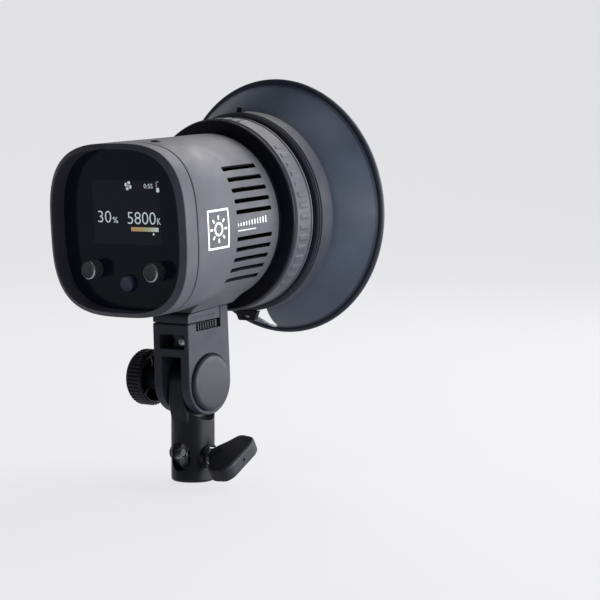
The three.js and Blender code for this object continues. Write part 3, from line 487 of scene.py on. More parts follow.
def lit_scale(name, x0, x1):
    """The colour temperature bar: warm at its left end and white at its right."""
    paint = Paint(name, srgb(60, 50, 40), 0.3)
    split = paint.add("ShaderNodeSeparateXYZ")
    paint.link(paint.position, split.inputs["Vector"])
    span = paint.add("ShaderNodeMapRange")
    span.inputs["From Min"].default_value = x0 * MM
    span.inputs["From Max"].default_value = x1 * MM
    paint.link(split.outputs["X"], span.inputs["Value"])
    scale = paint.ramp(
        span.outputs["Result"],
        (0.0, srgb(156, 116, 68)),
        (0.45, srgb(142, 128, 90)),
        (0.62, srgb(134, 140, 112)),
        (1.0, srgb(174, 182, 184)),
    )
    paint.glow(scale)
    return paint.material


def painted_dish(name, colour, roughness, specular, scratched=True):
    """Satin enamel on spun metal: fine grain, soft mottling and a few hairline marks."""
    paint = Paint(name, colour, roughness, specular=specular)
    grain = paint.noise(2.5, detail=3)
    base = paint.mottle(0.03, 0.1)
    if scratched:
        marks = paint.noise(0.35, detail=6, stretch=(0.15, 1, 1.6))
        hairline = paint.ramp(marks, (0.66, (0, 0, 0)), (0.72, (0.35, 0.35, 0.35)))
        base = paint.blend(hairline, base, tuple(min(1, c * 2.2) for c in colour))
    paint.base(base)
    paint.rough(paint.spread(paint.noise(0.06), roughness - 0.06, roughness + 0.08))
    paint.bump(grain, 0.01, strength=0.35)
    return paint.material


def frosted(name):
    """Milky glass with a fine tooth."""
    paint = Paint(name, srgb(172, 175, 178), 0.45)
    paint.base(paint.mottle(0.08, 0.03))
    paint.rough(paint.spread(paint.noise(1.5), 0.38, 0.52))
    paint.bump(paint.noise(3.0), 0.01, strength=0.3)
    return paint.material


def circuit(name):
    """Green circuit board with lighter copper patches under its mask."""
    paint = Paint(name, srgb(18, 74, 42), 0.4)
    cells = paint.add("ShaderNodeTexVoronoi")
    cells.inputs["Scale"].default_value = 0.35 / MM
    paint.link(paint.position, cells.inputs["Vector"])
    tracks = paint.ramp(cells.outputs["Distance"], (0.1, srgb(34, 112, 66)), (0.4, srgb(14, 66, 36)))
    paint.base(tracks)
    paint.bump(cells.outputs["Distance"], 0.05, strength=0.4)
    return paint.material


COARSE_GRAIN = {"grain_mm": 0.4, "depth_mm": 0.03, "mottle": 0.08}
SATIN_GRAIN = {"grain_mm": 0.3, "depth_mm": 0.012}
KNOB_GRAIN = {"grain_mm": 0.2, "depth_mm": 0.005}
PRINT_GRAIN = {"grain_mm": 0.2, "depth_mm": 0.004, "mottle": 0.03}

SHELL = moulded("shell_satin", srgb(69, 69, 76), 0.6, mottle=0.04, specular=0.15, **SATIN_GRAIN)
RING_GRAIN = moulded("ring_grain", srgb(60, 60, 68), 0.6, specular=0.2, **COARSE_GRAIN)
# Darker copy of the grip ring's grain for the collar band: painted shade.
BAND_GRAIN_SHADE = moulded("band_painted_shade", srgb(42, 43, 52), 0.6, specular=0.15, **COARSE_GRAIN)
# Darker copy of the shell's grey for the bezel's back and recess faces: painted shade.
BEZEL_SHADE = moulded("bezel_painted_shade", srgb(50, 50, 60), 0.55, specular=0.2, **SATIN_GRAIN)
# Grey rather than the knobs' black on their ribbed sides: a painted sheen for light on the ribs.
KNURL_SHEEN = moulded("knurl_painted_sheen", srgb(64, 66, 74), 0.3, **KNOB_GRAIN)
# Near-black: the socket insert's and index block's own colour, and on the front flange a painted shade.
DARK_TRIM_AND_FLANGE_SHADE = moulded("flange_shade_and_dark_trim", srgb(18, 19, 28), 0.5, mottle=0.05, specular=0.1)
YOKE_SKIN = moulded("yoke_skin", srgb(44, 46, 54), 0.5, specular=0.12, **SATIN_GRAIN)
CAP_SKIN = moulded("cap_skin", srgb(36, 39, 46), 0.4, grain_mm=0.25, depth_mm=0.006, specular=0.15)
KNOB_EDGE = metal("knob_edge", srgb(150, 154, 164), 0.3, per_mm=4.0)
CAST_BLACK = moulded("cast_black", srgb(12, 14, 21), 0.38, grain_mm=0.5, depth_mm=0.02, specular=0.16)
HANDLE_BLACK = moulded("handle_black", srgb(27, 28, 35), 0.45, grain_mm=0.4, depth_mm=0.02, specular=0.15)
KNOB_BLACK = moulded("knob_black", srgb(18, 19, 25), 0.4)
KNOB_FACE = moulded("knob_face", srgb(34, 37, 44), 0.35, specular=0.3, **KNOB_GRAIN)
BUTTON_CAP = moulded("button_cap", srgb(38, 46, 66), 0.35, specular=0.3, **KNOB_GRAIN)
# The plain panel's faint blue glow is painted light; the display sheet's glow is its backlight.
PANEL_GLASS = glossy_panel("panel_glass", srgb(10, 12, 21), srgb(4, 5, 10))
DISPLAY_GLASS = glossy_panel("display_glass_on", srgb(12, 15, 22), srgb(13, 15, 21))
DISH_OUTSIDE = painted_dish("dish_outside", srgb(56, 64, 77), 0.42, 0.15)
# Darker copy of the dish's outside paint for the rolled rim: painted shade.
DISH_BEAD_SHADE = painted_dish("dish_bead_painted_shade", srgb(36, 40, 52), 0.5, 0.2)
DISH_INSIDE = painted_dish("dish_inside", srgb(158, 161, 166), 0.35, 0.3, scratched=False)
FROST = frosted("front_frost")
RUBBER = moulded(
    "soft_rubber", srgb(30, 30, 33), 0.78, grain_mm=0.2, depth_mm=0.015, mottle=0.08, specular=0.35,
)
INK = lit("display_ink", srgb(178, 188, 192))
WHITE_PRINT = moulded("white_print", srgb(206, 208, 214), 0.5, **PRINT_GRAIN)
GREY_PRINT = moulded("grey_print", srgb(168, 170, 176), 0.5, **PRINT_GRAIN)
STEEL = metal("plated_steel", srgb(150, 153, 158), 0.3)
DARK_STEEL = metal("blackened_steel", srgb(64, 65, 70), 0.35)
ANODISED = metal("black_anodised", srgb(40, 41, 44), 0.5)
ALUMINIUM = metal("bare_aluminium", srgb(190, 192, 196), 0.3, stretch=(1, 0.1, 1))
BRASS = metal("turned_brass", srgb(186, 140, 70), 0.32)
CIRCUIT = circuit("circuit")
BATTERY_WRAP = moulded("battery_wrap", srgb(38, 66, 110), 0.45, grain_mm=0.6)
PHOSPHOR = moulded("phosphor", srgb(232, 196, 70), 0.4, grain_mm=0.15)


# ---------------------------------------------------------------- head casing

REAR_POWER = 3.05  # exponent of the rounded square at the back; 2 is a circle
PARTING_Y = -57.5
SHELL_FRONT_Y = 30
SHELL_WALL = 2.5
ROUND_FROM_Y = 0  # in front of this the casing is a cylinder
RIM_WIDTH = 0.3
SEAM_WIDTH = 0.6  # wider, where the casing meets the bezel
SLOT_CORNER = 0.7
SLOT_Y = (-15.5, 22.5)
SLOT_H = 2.7
SLOT_CENTRE_Z = -0.9
SLOT_FIRST = 8.9
SLOT_PITCH = 7.05
SLOTS_PER_BANK = 5
TOP_SLOT = (14.5, 20.5, -49, -44)  # x from and to, then y
SOCKET_RISE = 0.9  # of the top slot's insert over the casing
PORT_SEAT = (-46.8, -29.2, 6.3)  # y from and to, then half height
OPENINGS_Y = (-50, 26)  # every slot and the charge port lie between these
ROW_YS = [PARTING_Y, -56, -53, -50, PORT_SEAT[0], -43, -40, -37, -34, -31, PORT_SEAT[1], -26.5, -24, -21, -18]
ROW_YS += [SLOT_Y[0] + 3.5 * i for i in range(11)]
ROW_YS += [SLOT_Y[1], 25, 27.5, SHELL_FRONT_Y]

bezel_low, bezel_high = extent("rear_bezel", BARREL)
BODY_HALF = bezel_high.x
BODY_HALF_Z = bezel_high.z


def casing_size(y):
    """Half width, half height and exponent of the casing's section at y."""
    t = min(1, max(0, (y - PARTING_Y) / (ROUND_FROM_Y - PARTING_Y)))
    ease = t * t * (3 - 2 * t)
    half_x = BODY_HALF - 1.4 * ease - 0.1 * max(0, y) / SHELL_FRONT_Y
    half_z = BODY_HALF_Z + 0.4 * t
    return half_x, half_z, REAR_POWER - (REAR_POWER - 2) * ease


def reach(across, limit_across, limit_along, power):
    """How far the section runs along one axis where it is across from the centre on the other."""
    return limit_along * (1 - min(1, abs(across / limit_across)) ** power) ** (1 / power)


def skin_x(y, z):
    """X of the casing's outside on the +X side."""
    half_x, half_z, power = casing_size(y)
    return reach(z, half_z, half_x, power)


def slot_levels():
    levels = []
    for level in (-1, 1):
        for i in range(SLOTS_PER_BANK):
            levels.append(SLOT_CENTRE_Z + level * (SLOT_FIRST + i * SLOT_PITCH))
    return sorted(levels)


def side_rows():
    """Heights of the mesh rows on the casing's sides: the slots' edges, and lines between them."""
    rows = []
    for level in slot_levels():
        rows += [level - SLOT_H / 2, level + SLOT_H / 2]
    gaps = [(a + b) / 2 for a, b in zip(rows[1::2], rows[2::2])]
    middle = [-PORT_SEAT[2], -3, SLOT_CENTRE_Z, 2, PORT_SEAT[2]]
    return sorted(set(rows) | {g for g in gaps if abs(g - SLOT_CENTRE_Z) > 3} | set(middle))


def spread_rows(rows, corner):
    """Rows from one corner of the section to just short of the next, with three more beside each."""
    near = [-corner + (rows[0] + corner) * t for t in (0, 0.25, 0.5, 0.75)]
    far = [rows[-1] + (corner - rows[-1]) * t for t in (0.25, 0.5, 0.75)]
    return near + list(rows) + far


SIDE_ROWS = side_rows()
TOP_ROWS = [3 * i - 38.5 for i in range(27)]


def casing_ring(y):
    half_x, half_z, power = casing_size(y)
    corner = 2 ** (-1 / power)
    up = spread_rows(SIDE_ROWS, half_z * corner)
    down = spread_rows([-z for z in reversed(SIDE_ROWS)], half_z * corner)
    across = spread_rows(TOP_ROWS, half_x * corner)
    ring = [(reach(z, half_z, half_x, power), y, z) for z in up]
    ring += [(-x, y, reach(x, half_x, half_z, power)) for x in across]
    ring += [(-reach(z, half_z, half_x, power), y, -z) for z in down]
    ring += [(x, y, -reach(x, half_x, half_z, power)) for x in across]
    return ring


def in_slot(y, z):
    return SLOT_Y[0] < y < SLOT_Y[1] and any(abs(z - level) < SLOT_H / 2 for level in slot_levels())


def main_shell():
    """Casing wall with its slots cut out between mesh rows, then thickened and its rims rounded.

    The inside and the walls of the openings have the second material, black as painted shade.
    """
    bm = bmesh.new()
    rows = [[bm.verts.new(Vector(p) * MM) for p in casing_ring(y)] for y in ROW_YS]
    count = len(rows[0])
    for low, high in zip(rows, rows[1:]):
        for i in range(count):
            j = (i + 1) % count
            face = bm.faces.new([low[i], low[j], high[j], high[i]])
            x, y, z = face.calc_center_median() / MM
            port = x < 0 and PORT_SEAT[0] < y < PORT_SEAT[1] and abs(z) < PORT_SEAT[2]
            if port or in_slot(y, z):
                bm.faces.remove(face)
    bmesh.ops.recalc_face_normals(bm, faces=bm.faces)
    shell = scratch_object(bm)
    wall = shell.modifiers.new("wall", "SOLIDIFY")
    wall.thickness = SHELL_WALL * MM
    wall.offset = -1
    wall.use_even_offset = True
    bm = baked(shell)
    remove_scratch([shell])
    corners = [e for e in bm.edges if e.calc_face_angle(0) > math.radians(60) and slot_corner(e)]
    bevel(bm, corners, SLOT_CORNER, 3, 0.5)
    rims = [e for e in bm.edges if e.is_manifold and e.calc_face_angle() > math.radians(50)]
    seam = [e for e in rims if max(v.co.y for v in e.verts) < (PARTING_Y + 0.1) * MM]
    others = [e for e in rims if e not in set(seam)]
    bevel(bm, others, RIM_WIDTH, 2, 0.5)
    bevel(bm, seam, SEAM_WIDTH, 2, 0.5)
    bmesh.ops.remove_doubles(bm, verts=bm.verts, dist=0.002 * MM)
    bmesh.ops.delete(bm, geom=[e for e in bm.edges if not e.link_faces], context="EDGES")
    bmesh.ops.delete(bm, geom=[v for v in bm.verts if not v.link_faces], context="VERTS")
    # Slot and port walls and the inside take black: painted shade in the openings.
    for face in bm.faces:
        among_openings = OPENINGS_Y[0] < face.calc_center_median().y / MM < OPENINGS_Y[1]
        if outwards(face) < (0.4 if among_openings else -0.2):
            face.material_index = 1
    return bm


def slot_corner(edge):
    """True for an edge that runs through the wall at a slot's corner."""
    a, b = (v.co / MM for v in edge.verts)
    through_wall = abs(a.x - b.x) > 0.5 and abs(a.y - b.y) < 0.9 and abs(a.z - b.z) < 1.6
    return through_wall and a.y < SHELL_FRONT_Y - 1


FOOT_Y = (-17, 27)
FOOT_HALF = 15.5
FOOT_TOP = Vector((31, -48.3))  # where the foot's side meets the casing
FOOT_BURIED_R = 56.2  # the foot ends inside the casing's wall
JOINT_RISE = 0.05  # climb of the joint between the foot and the plate for each millimetre forwards
JOINT_HALF_GAP = 0.15
plate_low, plate_high = extent("quick_release_plate", HEAD)


def joint_z(y):
    """Height of that joint in the yoke's frame, midway in its gap."""
    return plate_high.z + JOINT_HALF_GAP + JOINT_RISE * (y - plate_high.y)


def sole_z(y):
    """Height of the foot's sole in the barrel's frame."""
    return joint_z(y) + JOINT_HALF_GAP - AXIS_HEIGHT / MM


FOOT_LOW_Z = sole_z(FOOT_Y[0])


def shell_foot():
    """Saddle under the casing: flared sides that run into the wall, and a flat sole."""
    start = Vector((FOOT_HALF, FOOT_LOW_Z))
    bend = Vector((FOOT_HALF + 0.5, FOOT_LOW_Z + 2.4))
    flare = [bent(start, bend, FOOT_TOP, i / 12) for i in range(13)]
    buried = [29, *range(24, -25, -6), -29]
    inside = [(x, -math.sqrt(FOOT_BURIED_R**2 - x * x)) for x in buried]
    outline = [tuple(p) for p in flare] + inside + [(-p.x, p.y) for p in reversed(flare)]
    bm = prism(outline, *FOOT_Y, "Y")
    rear, front = FOOT_Y[0] - 1, FOOT_Y[1] + 1
    sole = [(rear, FOOT_LOW_Z - 3), (front, FOOT_LOW_Z - 3)]
    sole += [(y, sole_z(y)) for y in (front, rear)]
    bm = cut(bm, prism(sole, -40, 40, "X"))
    return softened(bm, 0.35, sharper_than=60)


def bezel_ring(inwards, y):
    """Outline of the casing's back, moved inwards a little less at the top and bottom than at the sides."""
    ring = []
    count = 200
    half_x, half_z = BODY_HALF - inwards, BODY_HALF_Z - 0.79 * inwards
    for i in range(count):
        angle = 2 * math.pi * i / count
        c, s = math.cos(angle), math.sin(angle)
        size = (abs(c) ** REAR_POWER + abs(s) ** REAR_POWER) ** (-1 / REAR_POWER)
        ring.append((half_x * size * c, y, half_z * size * s))
    return ring


PANEL_Y = extent("control_panel", BARREL)[0].y
RIM_INSET = 4.1
RECESS_INSET = 4.5


def rear_bezel():
    """Frame round the control panel: straight side, wide chamfer, thin rim and the recess wall.

    The faces that look back or inwards have the second material, a darker grey as painted shade.
    """
    rear, front = bezel_low.y, bezel_high.y
    profile = eased([
        (1.1, front),
        (0, front - 0.6, 0.15),
        (0, rear + 2.6, 0.7),
        (RIM_INSET - 0.1, rear, 0.25),
        (RECESS_INSET, rear + 0.15, 0.2),
        (RECESS_INSET + 0.05, PANEL_Y - 0.3, 0.15),
        (2.7, PANEL_Y - 0.3),
        (2.7, front),
    ], steps=5)
    bm = skin([bezel_ring(inwards, y) for inwards, y in profile], closed=True)
    for face in bm.faces:
        if face.normal.y < -0.6 or outwards(face) < 0.3:
            face.material_index = 1
    return bm


def slot_insert():
    """Small dark socket let into the casing's top, with a low collar that stands proud of it."""
    x0, x1, y0, y1 = TOP_SLOT
    top = reach(x0 + 1, *casing_size(y0)) + SOCKET_RISE
    insert = prism(box_outline(x0, x1, y0, y1, 2.2), top - 3.9, top, "Z", rim=0.3)
    hole = prism(box_outline(x0 + 0.9, x1 - 0.9, y0 + 0.9, y1 - 0.9, 1.5), top - 2.4, top + 1, "Z")
    drop = reach(x0, *casing_size(y0)) - reach(x1, *casing_size(y0))
    slope = Matrix.Rotation(math.atan2(drop, x1 - x0), 4, "Y")
    pin = Matrix.Translation(Vector((x0, 0, top)) * MM)
    return shifted(softened(cut(insert, hole), 0.12, sharper_than=50), pin @ slope @ pin.inverted())


def port_seat():
    """Floor of the charge port's recess, with the port's round-ended hole."""
    low, high = extent("port_cover", BARREL)
    rear, front, half = PORT_SEAT
    plate = prism(box_outline(rear - 0.6, front + 0.6, -half - 0.6, half + 0.6, 1.0), -57, -55.8, "X")
    y = (low.y + high.y) / 2
    hole = prism(box_outline(y - 4.9, y + 4.9, -2.1, 2.1, 2.0), -60, -50, "X")
    return softened(cut(plate, hole), 0.2, sharper_than=50)


def port_cover():
    """Soft flap with a raised border and a thumb nib at its free end."""
    low, high = extent("port_cover", BARREL)
    flap = prism(box_outline(low.y, high.y, low.z, high.z, 1.6), low.x, high.x, "X", rim=0.35)
    sunk = box_outline(low.y + 3, high.y - 1.6, low.z + 1.6, high.z - 1.6, 1.2)
    flap = cut(flap, prism(sunk, low.x - 1, low.x + 0.35, "X"))
    nib = box_outline(low.y + 0.9, low.y + 2.1, -2.6, 2.6, 0.5)
    nib = prism(nib, low.x + 0.02, low.x + 0.9, "X", rim=0.15)
    return joined(softened(flap, 0.15, sharper_than=50), nib)


piece("casing", main_shell(), BARREL, "head", [SHELL, KNOB_BLACK], ["main_shell"])
piece("casing_foot", shell_foot(), BARREL, "head", SHELL, ["main_shell"])
piece("bezel", rear_bezel(), BARREL, "head", [SHELL, BEZEL_SHADE], ["rear_bezel"], smooth=50)
piece("socket_insert", slot_insert(), BARREL, "head", DARK_TRIM_AND_FLANGE_SHADE, ["main_shell"])
piece("port_recess", port_seat(), BARREL, "head", KNOB_BLACK, ["main_shell"])
piece("port_flap", port_cover(), BARREL, "port_cover", RUBBER, ["port_cover"])


# ---------------------------------------------------------------- control panel

knob_low, knob_high = extent("colour_knob", BARREL)
KNOB_X = (knob_low.x + knob_high.x) / 2
KNOB_Z = (knob_low.z + knob_high.z) / 2
KNOB_R = (knob_high.z - knob_low.z) / 2
button_low, button_high = extent("menu_button", BARREL)
BUTTON_Z = (button_low.z + button_high.z) / 2
BUTTON_R = 5.6
KNOB_RIBS = 44
display_low, display_high = extent("display_window", BARREL)
GLASS_BACK_Y = display_high.y
THROUGH_Y = (-70, -50)  # a cutter this long passes right through the panel


def control_panel():
    """Glass sheet with holes for the shafts and the button, and the display's window left out."""
    sheet = ((3.1, GLASS_BACK_Y), (3.1, PANEL_Y + 0.1), (3.2, PANEL_Y))
    glass = skin([bezel_ring(inwards, y) for inwards, y in sheet], closed=False)
    holes = [moved(cylinder(3.2, *THROUGH_Y, 48), x, 0, KNOB_Z) for x in (-KNOB_X, KNOB_X)]
    holes.append(moved(cylinder(BUTTON_R + 0.25, *THROUGH_Y, 72), 0, 0, BUTTON_Z))
    window = prism(display_outline(0.02), *THROUGH_Y, "Y")
    return cut(glass, *holes, window)


def display_outline(grow):
    low, high = display_low, display_high
    return box_outline(low.x - grow, high.x + grow, low.z - grow, high.z + grow, 0.8)


def knob():
    """Rotary knob: fine upright ribs, a bright turned edge and a shallow dished face."""
    rear, front = knob_low.y, knob_high.y

    def ribs(angle, radius, y):
        if radius < KNOB_R - 0.35 or not rear + 1.0 < y < front - 0.5:
            return radius
        return radius - 0.32 * (0.5 + 0.5 * math.cos(KNOB_RIBS * angle)) ** 1.5

    profile = [(0, rear + 0.35), (KNOB_R - 1.5, rear + 0.3, 0.8), (KNOB_R - 1.0, rear, 0.2)]
    profile += [(KNOB_R - 0.1, rear + 0.55, 0.3), (KNOB_R, rear + 1.0)]
    profile += [(KNOB_R, rear + 1.02), (KNOB_R, front - 0.6), (KNOB_R, front - 0.55, 0.05)]
    profile += [(KNOB_R - 0.5, front, 0.2), (2.9, front), (2.9, front - 6), (0, front - 6)]
    bm = turned(profile, 8 * KNOB_RIBS, ripple=ribs)
    for face in bm.faces:
        middle = face.calc_center_median() / MM
        across = math.hypot(middle.x, middle.z)
        if middle.y < rear + 1.0:
            face.material_index = 2 if across > KNOB_R - 0.95 else 1
    return bm


def menu_button():
    """Slightly hollow cap, with a brim behind the glass and a stem to the switch."""
    low, high = button_low.y, button_high.y
    brim_y = GLASS_BACK_Y + 0.4
    profile = [(0, low + 0.25), (BUTTON_R - 1.9, low + 0.2, 1.2), (BUTTON_R - 1.2, low, 0.5)]
    profile += [(BUTTON_R, low + 0.8, 0.6), (BUTTON_R, brim_y), (BUTTON_R + 1, brim_y)]
    profile += [(BUTTON_R + 1, GLASS_BACK_Y + 1.2), (1.8, GLASS_BACK_Y + 1.2), (1.8, high), (0, high)]
    return turned(profile, 96)


piece("panel_sheet", control_panel(), BARREL, "head", PANEL_GLASS, ["control_panel"])
piece(
    "display_sheet", prism(display_outline(0), PANEL_Y, GLASS_BACK_Y, "Y"), BARREL, "head",
    DISPLAY_GLASS, ["display_window"],
)
for side, x in (("brightness", -KNOB_X), ("colour", KNOB_X)):
    piece(
        f"{side}_dial", knob(), at(BARREL, x, 0, KNOB_Z), f"{side}_knob",
        [KNURL_SHEEN, KNOB_FACE, KNOB_EDGE], [f"{side}_knob"], smooth=40,
    )
piece(
    "menu_cap", menu_button(), at(BARREL, 0, 0, BUTTON_Z), "menu_button", BUTTON_CAP,
    ["menu_button"],
)


# ---------------------------------------------------------------- what the display shows

INK_LIFT = 0.03  # how far display shapes stand in front of the glass
INK_DEPTH = 0.02


def ink(name, bm, paint):
    return piece(name, bm, BARREL, "head", paint, flat_faces=False)


def ink_shape(outline):
    return prism(outline, PANEL_Y - INK_LIFT - INK_DEPTH, PANEL_Y - INK_LIFT, "Y")


def figures(text, height, x, z, widen, thin=0.0):
    """Flat bmesh of numbers, widened and thinned, whose lower left corner is at (x, z)."""
    curve = bpy.data.curves.new("figures", "FONT")
    curve.body = text
    curve.size = height * 1.37
    curve.offset = -thin
    curve.extrude = INK_DEPTH / 2
    curve.fill_mode = "BOTH"
    obj = bpy.data.objects.new("figures", curve)
    bpy.context.scene.collection.objects.link(obj)
    bm = baked(obj)
    bpy.data.objects.remove(obj)
    bpy.data.curves.remove(curve)
    left = min(v.co.x for v in bm.verts)
    bmesh.ops.remove_doubles(bm, verts=bm.verts, dist=1e-5)
    turn = Matrix.Rotation(math.pi / 2, 4, "X")
    place = Matrix.Translation(Vector((x, PANEL_Y - INK_LIFT - INK_DEPTH / 2, z)) * MM)
    size = Matrix.Diagonal((widen * MM, MM, MM, 1))
    return shifted(bm, place @ turn @ size @ Matrix.Translation((-left, 0, 0)))


def fan_symbol(x, z, radius):
    """Four rounded lobes round a hub."""
    shapes = [ink_shape(arc(0, 0, radius * 0.2, 0, 330, 11))]
    for i in range(4):
        lobe = ink_shape(arc(0, 0, radius * 0.36, 0, 330, 11))
        flat = Matrix.Diagonal((1.15, 1, 0.9, 1))
        out = Matrix.Translation(Vector((radius * 0.12, 0, radius * 0.66)) * MM)
        shapes.append(shifted(lobe, Matrix.Rotation(i * math.pi / 2 + 0.2, 4, "Y") @ out @ flat))
    return moved(joined(*shapes), x, 0, z)


def battery_symbol(x, z):
    """Upright battery: its filled lower part, one side and a cap."""
    side = (x - 1.2, x - 0.9, z - 0.2, z + 3.3)
    cap = (x - 0.7, x + 0.9, z + 3.3, z + 3.6)
    charge = (x - 1.2, x + 1.2, z - 3.2, z - 0.4)
    return joined(*[ink_shape(box_outline(*bar, 0.15)) for bar in (side, cap, charge)])


SCALE_X = (4.2, 27.6)  # left and right end of the colour temperature bar
ink("level_figures", joined(
    figures("30", 8.2, -24.2, 4.3, 1.15, thin=0.12),
    figures("%", 4.1, -11.4, 4.2, 1.3),
    figures("5800", 8.5, 1.5, 3.7, 1.09, thin=0.12),
    figures("K", 4.5, 26.8, 3.7, 0.86),
    figures("0:55", 3.0, 16.9, 27.2, 1.12),
), INK)
ink("status_symbols", joined(
    fan_symbol(3.4, 28.7, 3.1),
    battery_symbol(28.6, 27.9),
    ink_shape([(22.2, -3.2), (24.4, -3.2), (23.3, -1.4)]),
), INK)
ink("colour_scale", ink_shape(box_outline(*SCALE_X, -1.0, 1.7, 0.2)), lit_scale("colour_scale", *SCALE_X))


# ---------------------------------------------------------------- side printing


def print_on_side(name, outlines, paint):
    """Thin printed shapes, outlined in (y, z), that follow the casing's +X side."""
    parts = []
    for outline in outlines:
        bm = prism(outline, 0, 0.06, "X")
        bmesh.ops.triangulate(bm, faces=bm.faces)
        parts.append(bm)
    bm = joined(*parts)
    for vertex in bm.verts:
        depth, y, z = vertex.co / MM
        vertex.co.x = (skin_x(y, z) + depth - 0.01) * MM
    return piece(name, bm, BARREL, "head", paint, flat_faces=False)


def strip(y0, z0, y1, z1, width, pieces=6):
    """Quads along a line, short enough to follow the casing."""
    start, end = Vector((y0, z0)), Vector((y1, z1))
    across = (end - start).orthogonal().normalized() * width / 2
    outlines = []
    for i in range(pieces):
        a = start.lerp(end, i / pieces)
        b = start.lerp(end, (i + 1) / pieces)
        outlines.append([tuple(a - across), tuple(b - across), tuple(b + across), tuple(a + across)])
    return outlines


def ring_strip(cy, cz, radius, width):
    """Quads round a circle."""
    outlines = []
    pieces = 24
    inner, outer = radius - width / 2, radius + width / 2
    for i in range(pieces):
        a0, a1 = 2 * math.pi * i / pieces, 2 * math.pi * (i + 1) / pieces
        corners = [(a0, inner), (a1, inner), (a1, outer), (a0, outer)]
        outlines.append([(cy + r * math.cos(a), cz + r * math.sin(a)) for a, r in corners])
    return outlines


def sun_mark():
    """A generic light symbol: a ring with eight rays in a square frame."""
    y0, y1, z0, z1 = -47, -25.2, -13.2, 11.4
    cy, cz = (y0 + y1) / 2, (z0 + z1) / 2
    width = 1.3
    shapes = []
    for z in (z0, z1):
        shapes += strip(y0, z, y1, z, width)
    for y in (y0, y1):
        shapes += strip(y, z0 - width / 2, y, z1 + width / 2, width)
    shapes += ring_strip(cy, cz, 3.9, 1.5)
    for i in range(8):
        angle = i * math.pi / 4
        c, s = math.cos(angle), math.sin(angle)
        shapes += strip(cy + 6.2 * c, cz + 6.2 * s, cy + 8.9 * c, cz + 8.9 * s, 1.4, 2)
    return shapes


def level_marks():
    """Ticks that grow along the side like a dimmer's scale, over a thin base line."""
    shapes = []
    for i in range(11):
        y = -14.6 + 3.0 * i
        shapes += strip(y, -1.2, y, 0.6 + 0.26 * i, 0.9, 1)
    return shapes


print_on_side("light_symbol", sun_mark(), WHITE_PRINT)
print_on_side("dimmer_marks", level_marks(), WHITE_PRINT)
print_on_side("dimmer_line", strip(-15.1, -4.2, 4.5, -4.2, 0.8), GREY_PRINT)


# ---------------------------------------------------------------- front ring stack

flange_low, flange_high = extent("front_flange", BARREL)
ring_low, ring_high = extent("lock_ring", BARREL)
mount_low, mount_high = extent("bayonet_mount", BARREL)
collar_low, collar_high = extent("reflector_collar", BARREL)
FLANGE_R = flange_high.z
RING_R = ring_high.z
MOUNT_R = mount_high.z
COLLAR_R = collar_high.z
GRIP_ARCS = (90, 210, 330)  # middles of the grip ring's ribbed arcs, in degrees from the top
GRIP_HALF = 46
GRIP_PITCH = 6.4
GRIP_RISE = 0.55
RING_BORE_R = 60.6
BAND_BORE_R = 61
MOUNT_BORE_R = 52


def front_flange():
    """Step between the casing and the ring stack, painted near-black as the shade on its back face."""
    front = flange_high.y
    face = front - 2
    return turned([
        (46, flange_low.y), (54, flange_low.y, 0.3), (54, face - 1.2, 0.8), (55.4, face, 0.8),
        (FLANGE_R - 0.9, face, 0.25), (FLANGE_R, face + 0.8, 0.3), (FLANGE_R, front, 0.15), (46, front),
    ], 216)


def grip_rib(angle):
    """Share of full height that a grip rib has at an angle round the ring."""
    degrees = math.degrees(angle)
    for middle in GRIP_ARCS:
        away = (degrees - middle + 180) % 360 - 180
        if abs(away) < GRIP_HALF:
            near = (away / GRIP_PITCH + 0.5) % 1 - 0.5
            flank = (0.28 - abs(near)) / 0.09
            return min(1, max(0, flank))
    return 0


def lock_ring():
    """Ring with a chamfer at each end, a shallow band and three arcs of raised grip ribs."""
    rear, front = ring_low.y, ring_high.y
    band = RING_R - GRIP_RISE
    rib_rear, rib_front = rear + 4.6, front - 5.4

    def ribs(angle, radius, y):
        if abs(radius - band) > 0.01:
            return radius
        along = min((y - rib_rear) / 0.7, (rib_front - y) / 0.7, 1)
        return radius + GRIP_RISE * max(0, along) * grip_rib(angle)

    profile = [(RING_BORE_R, rear), (RING_R - 1.2, rear, 0.3), (RING_R, rear + 1.2, 0.35)]
    profile += [(RING_R, rear + 2.2, 0.15), (band, rear + 2.6, 0.15), (band, rib_rear - 0.1)]
    profile += [(band, rib_rear + step) for step in (0, 0.35, 0.75)]
    profile += [(band, rib_front - step) for step in (0.75, 0.35, 0)]
    profile += [(band, front - 2.9, 0.15), (RING_R, front - 2.5, 0.15), (RING_R, front - 1.3, 0.35)]
    profile += [(RING_R - 1.1, front, 0.3), (RING_BORE_R, front)]
    return turned(profile, 720, ripple=ribs)


def bayonet_mount():
    """Mount tube with three lugs' slots milled into its front edge."""
    rear, front = mount_low.y, mount_high.y
    tube = turned([
        (MOUNT_BORE_R, rear), (MOUNT_R, rear), (MOUNT_R, front - 1, 0.2), (MOUNT_R - 1, front, 0.2),
        (MOUNT_BORE_R, front),
    ], 180)
    slots = []
    for i in range(3):
        slot = prism(box_outline(-6, 6, 58.8, 62), front - 2.4, front + 1, "Y")
        slots.append(shifted(slot, Matrix.Rotation(math.radians(60 + 120 * i), 4, "Y")))
    return softened(cut(tube, *slots), 0.25, sharper_than=50)


def glass_retainer():
    """Ring round the front glass, with a shoulder behind it and a chamfered mouth."""
    low, high = extent("glass_retainer", BARREL)
    step = high.y - 4.1
    return turned([
        (38.6, low.y, 0.3), (high.z, low.y), (high.z, high.y, 0.4), (45.4, high.y, 0.3),
        (44.3, high.y - 1.1, 0.3), (44.3, step), (38.6, step, 0.3),
    ], 160)


def front_glass():
    low, high = extent("front_glass", BARREL)
    return turned([(0, low.y), (44, low.y, 0.3), (44, high.y - 0.6, 0.3), (40, high.y, 2), (0, high.y)], 120)


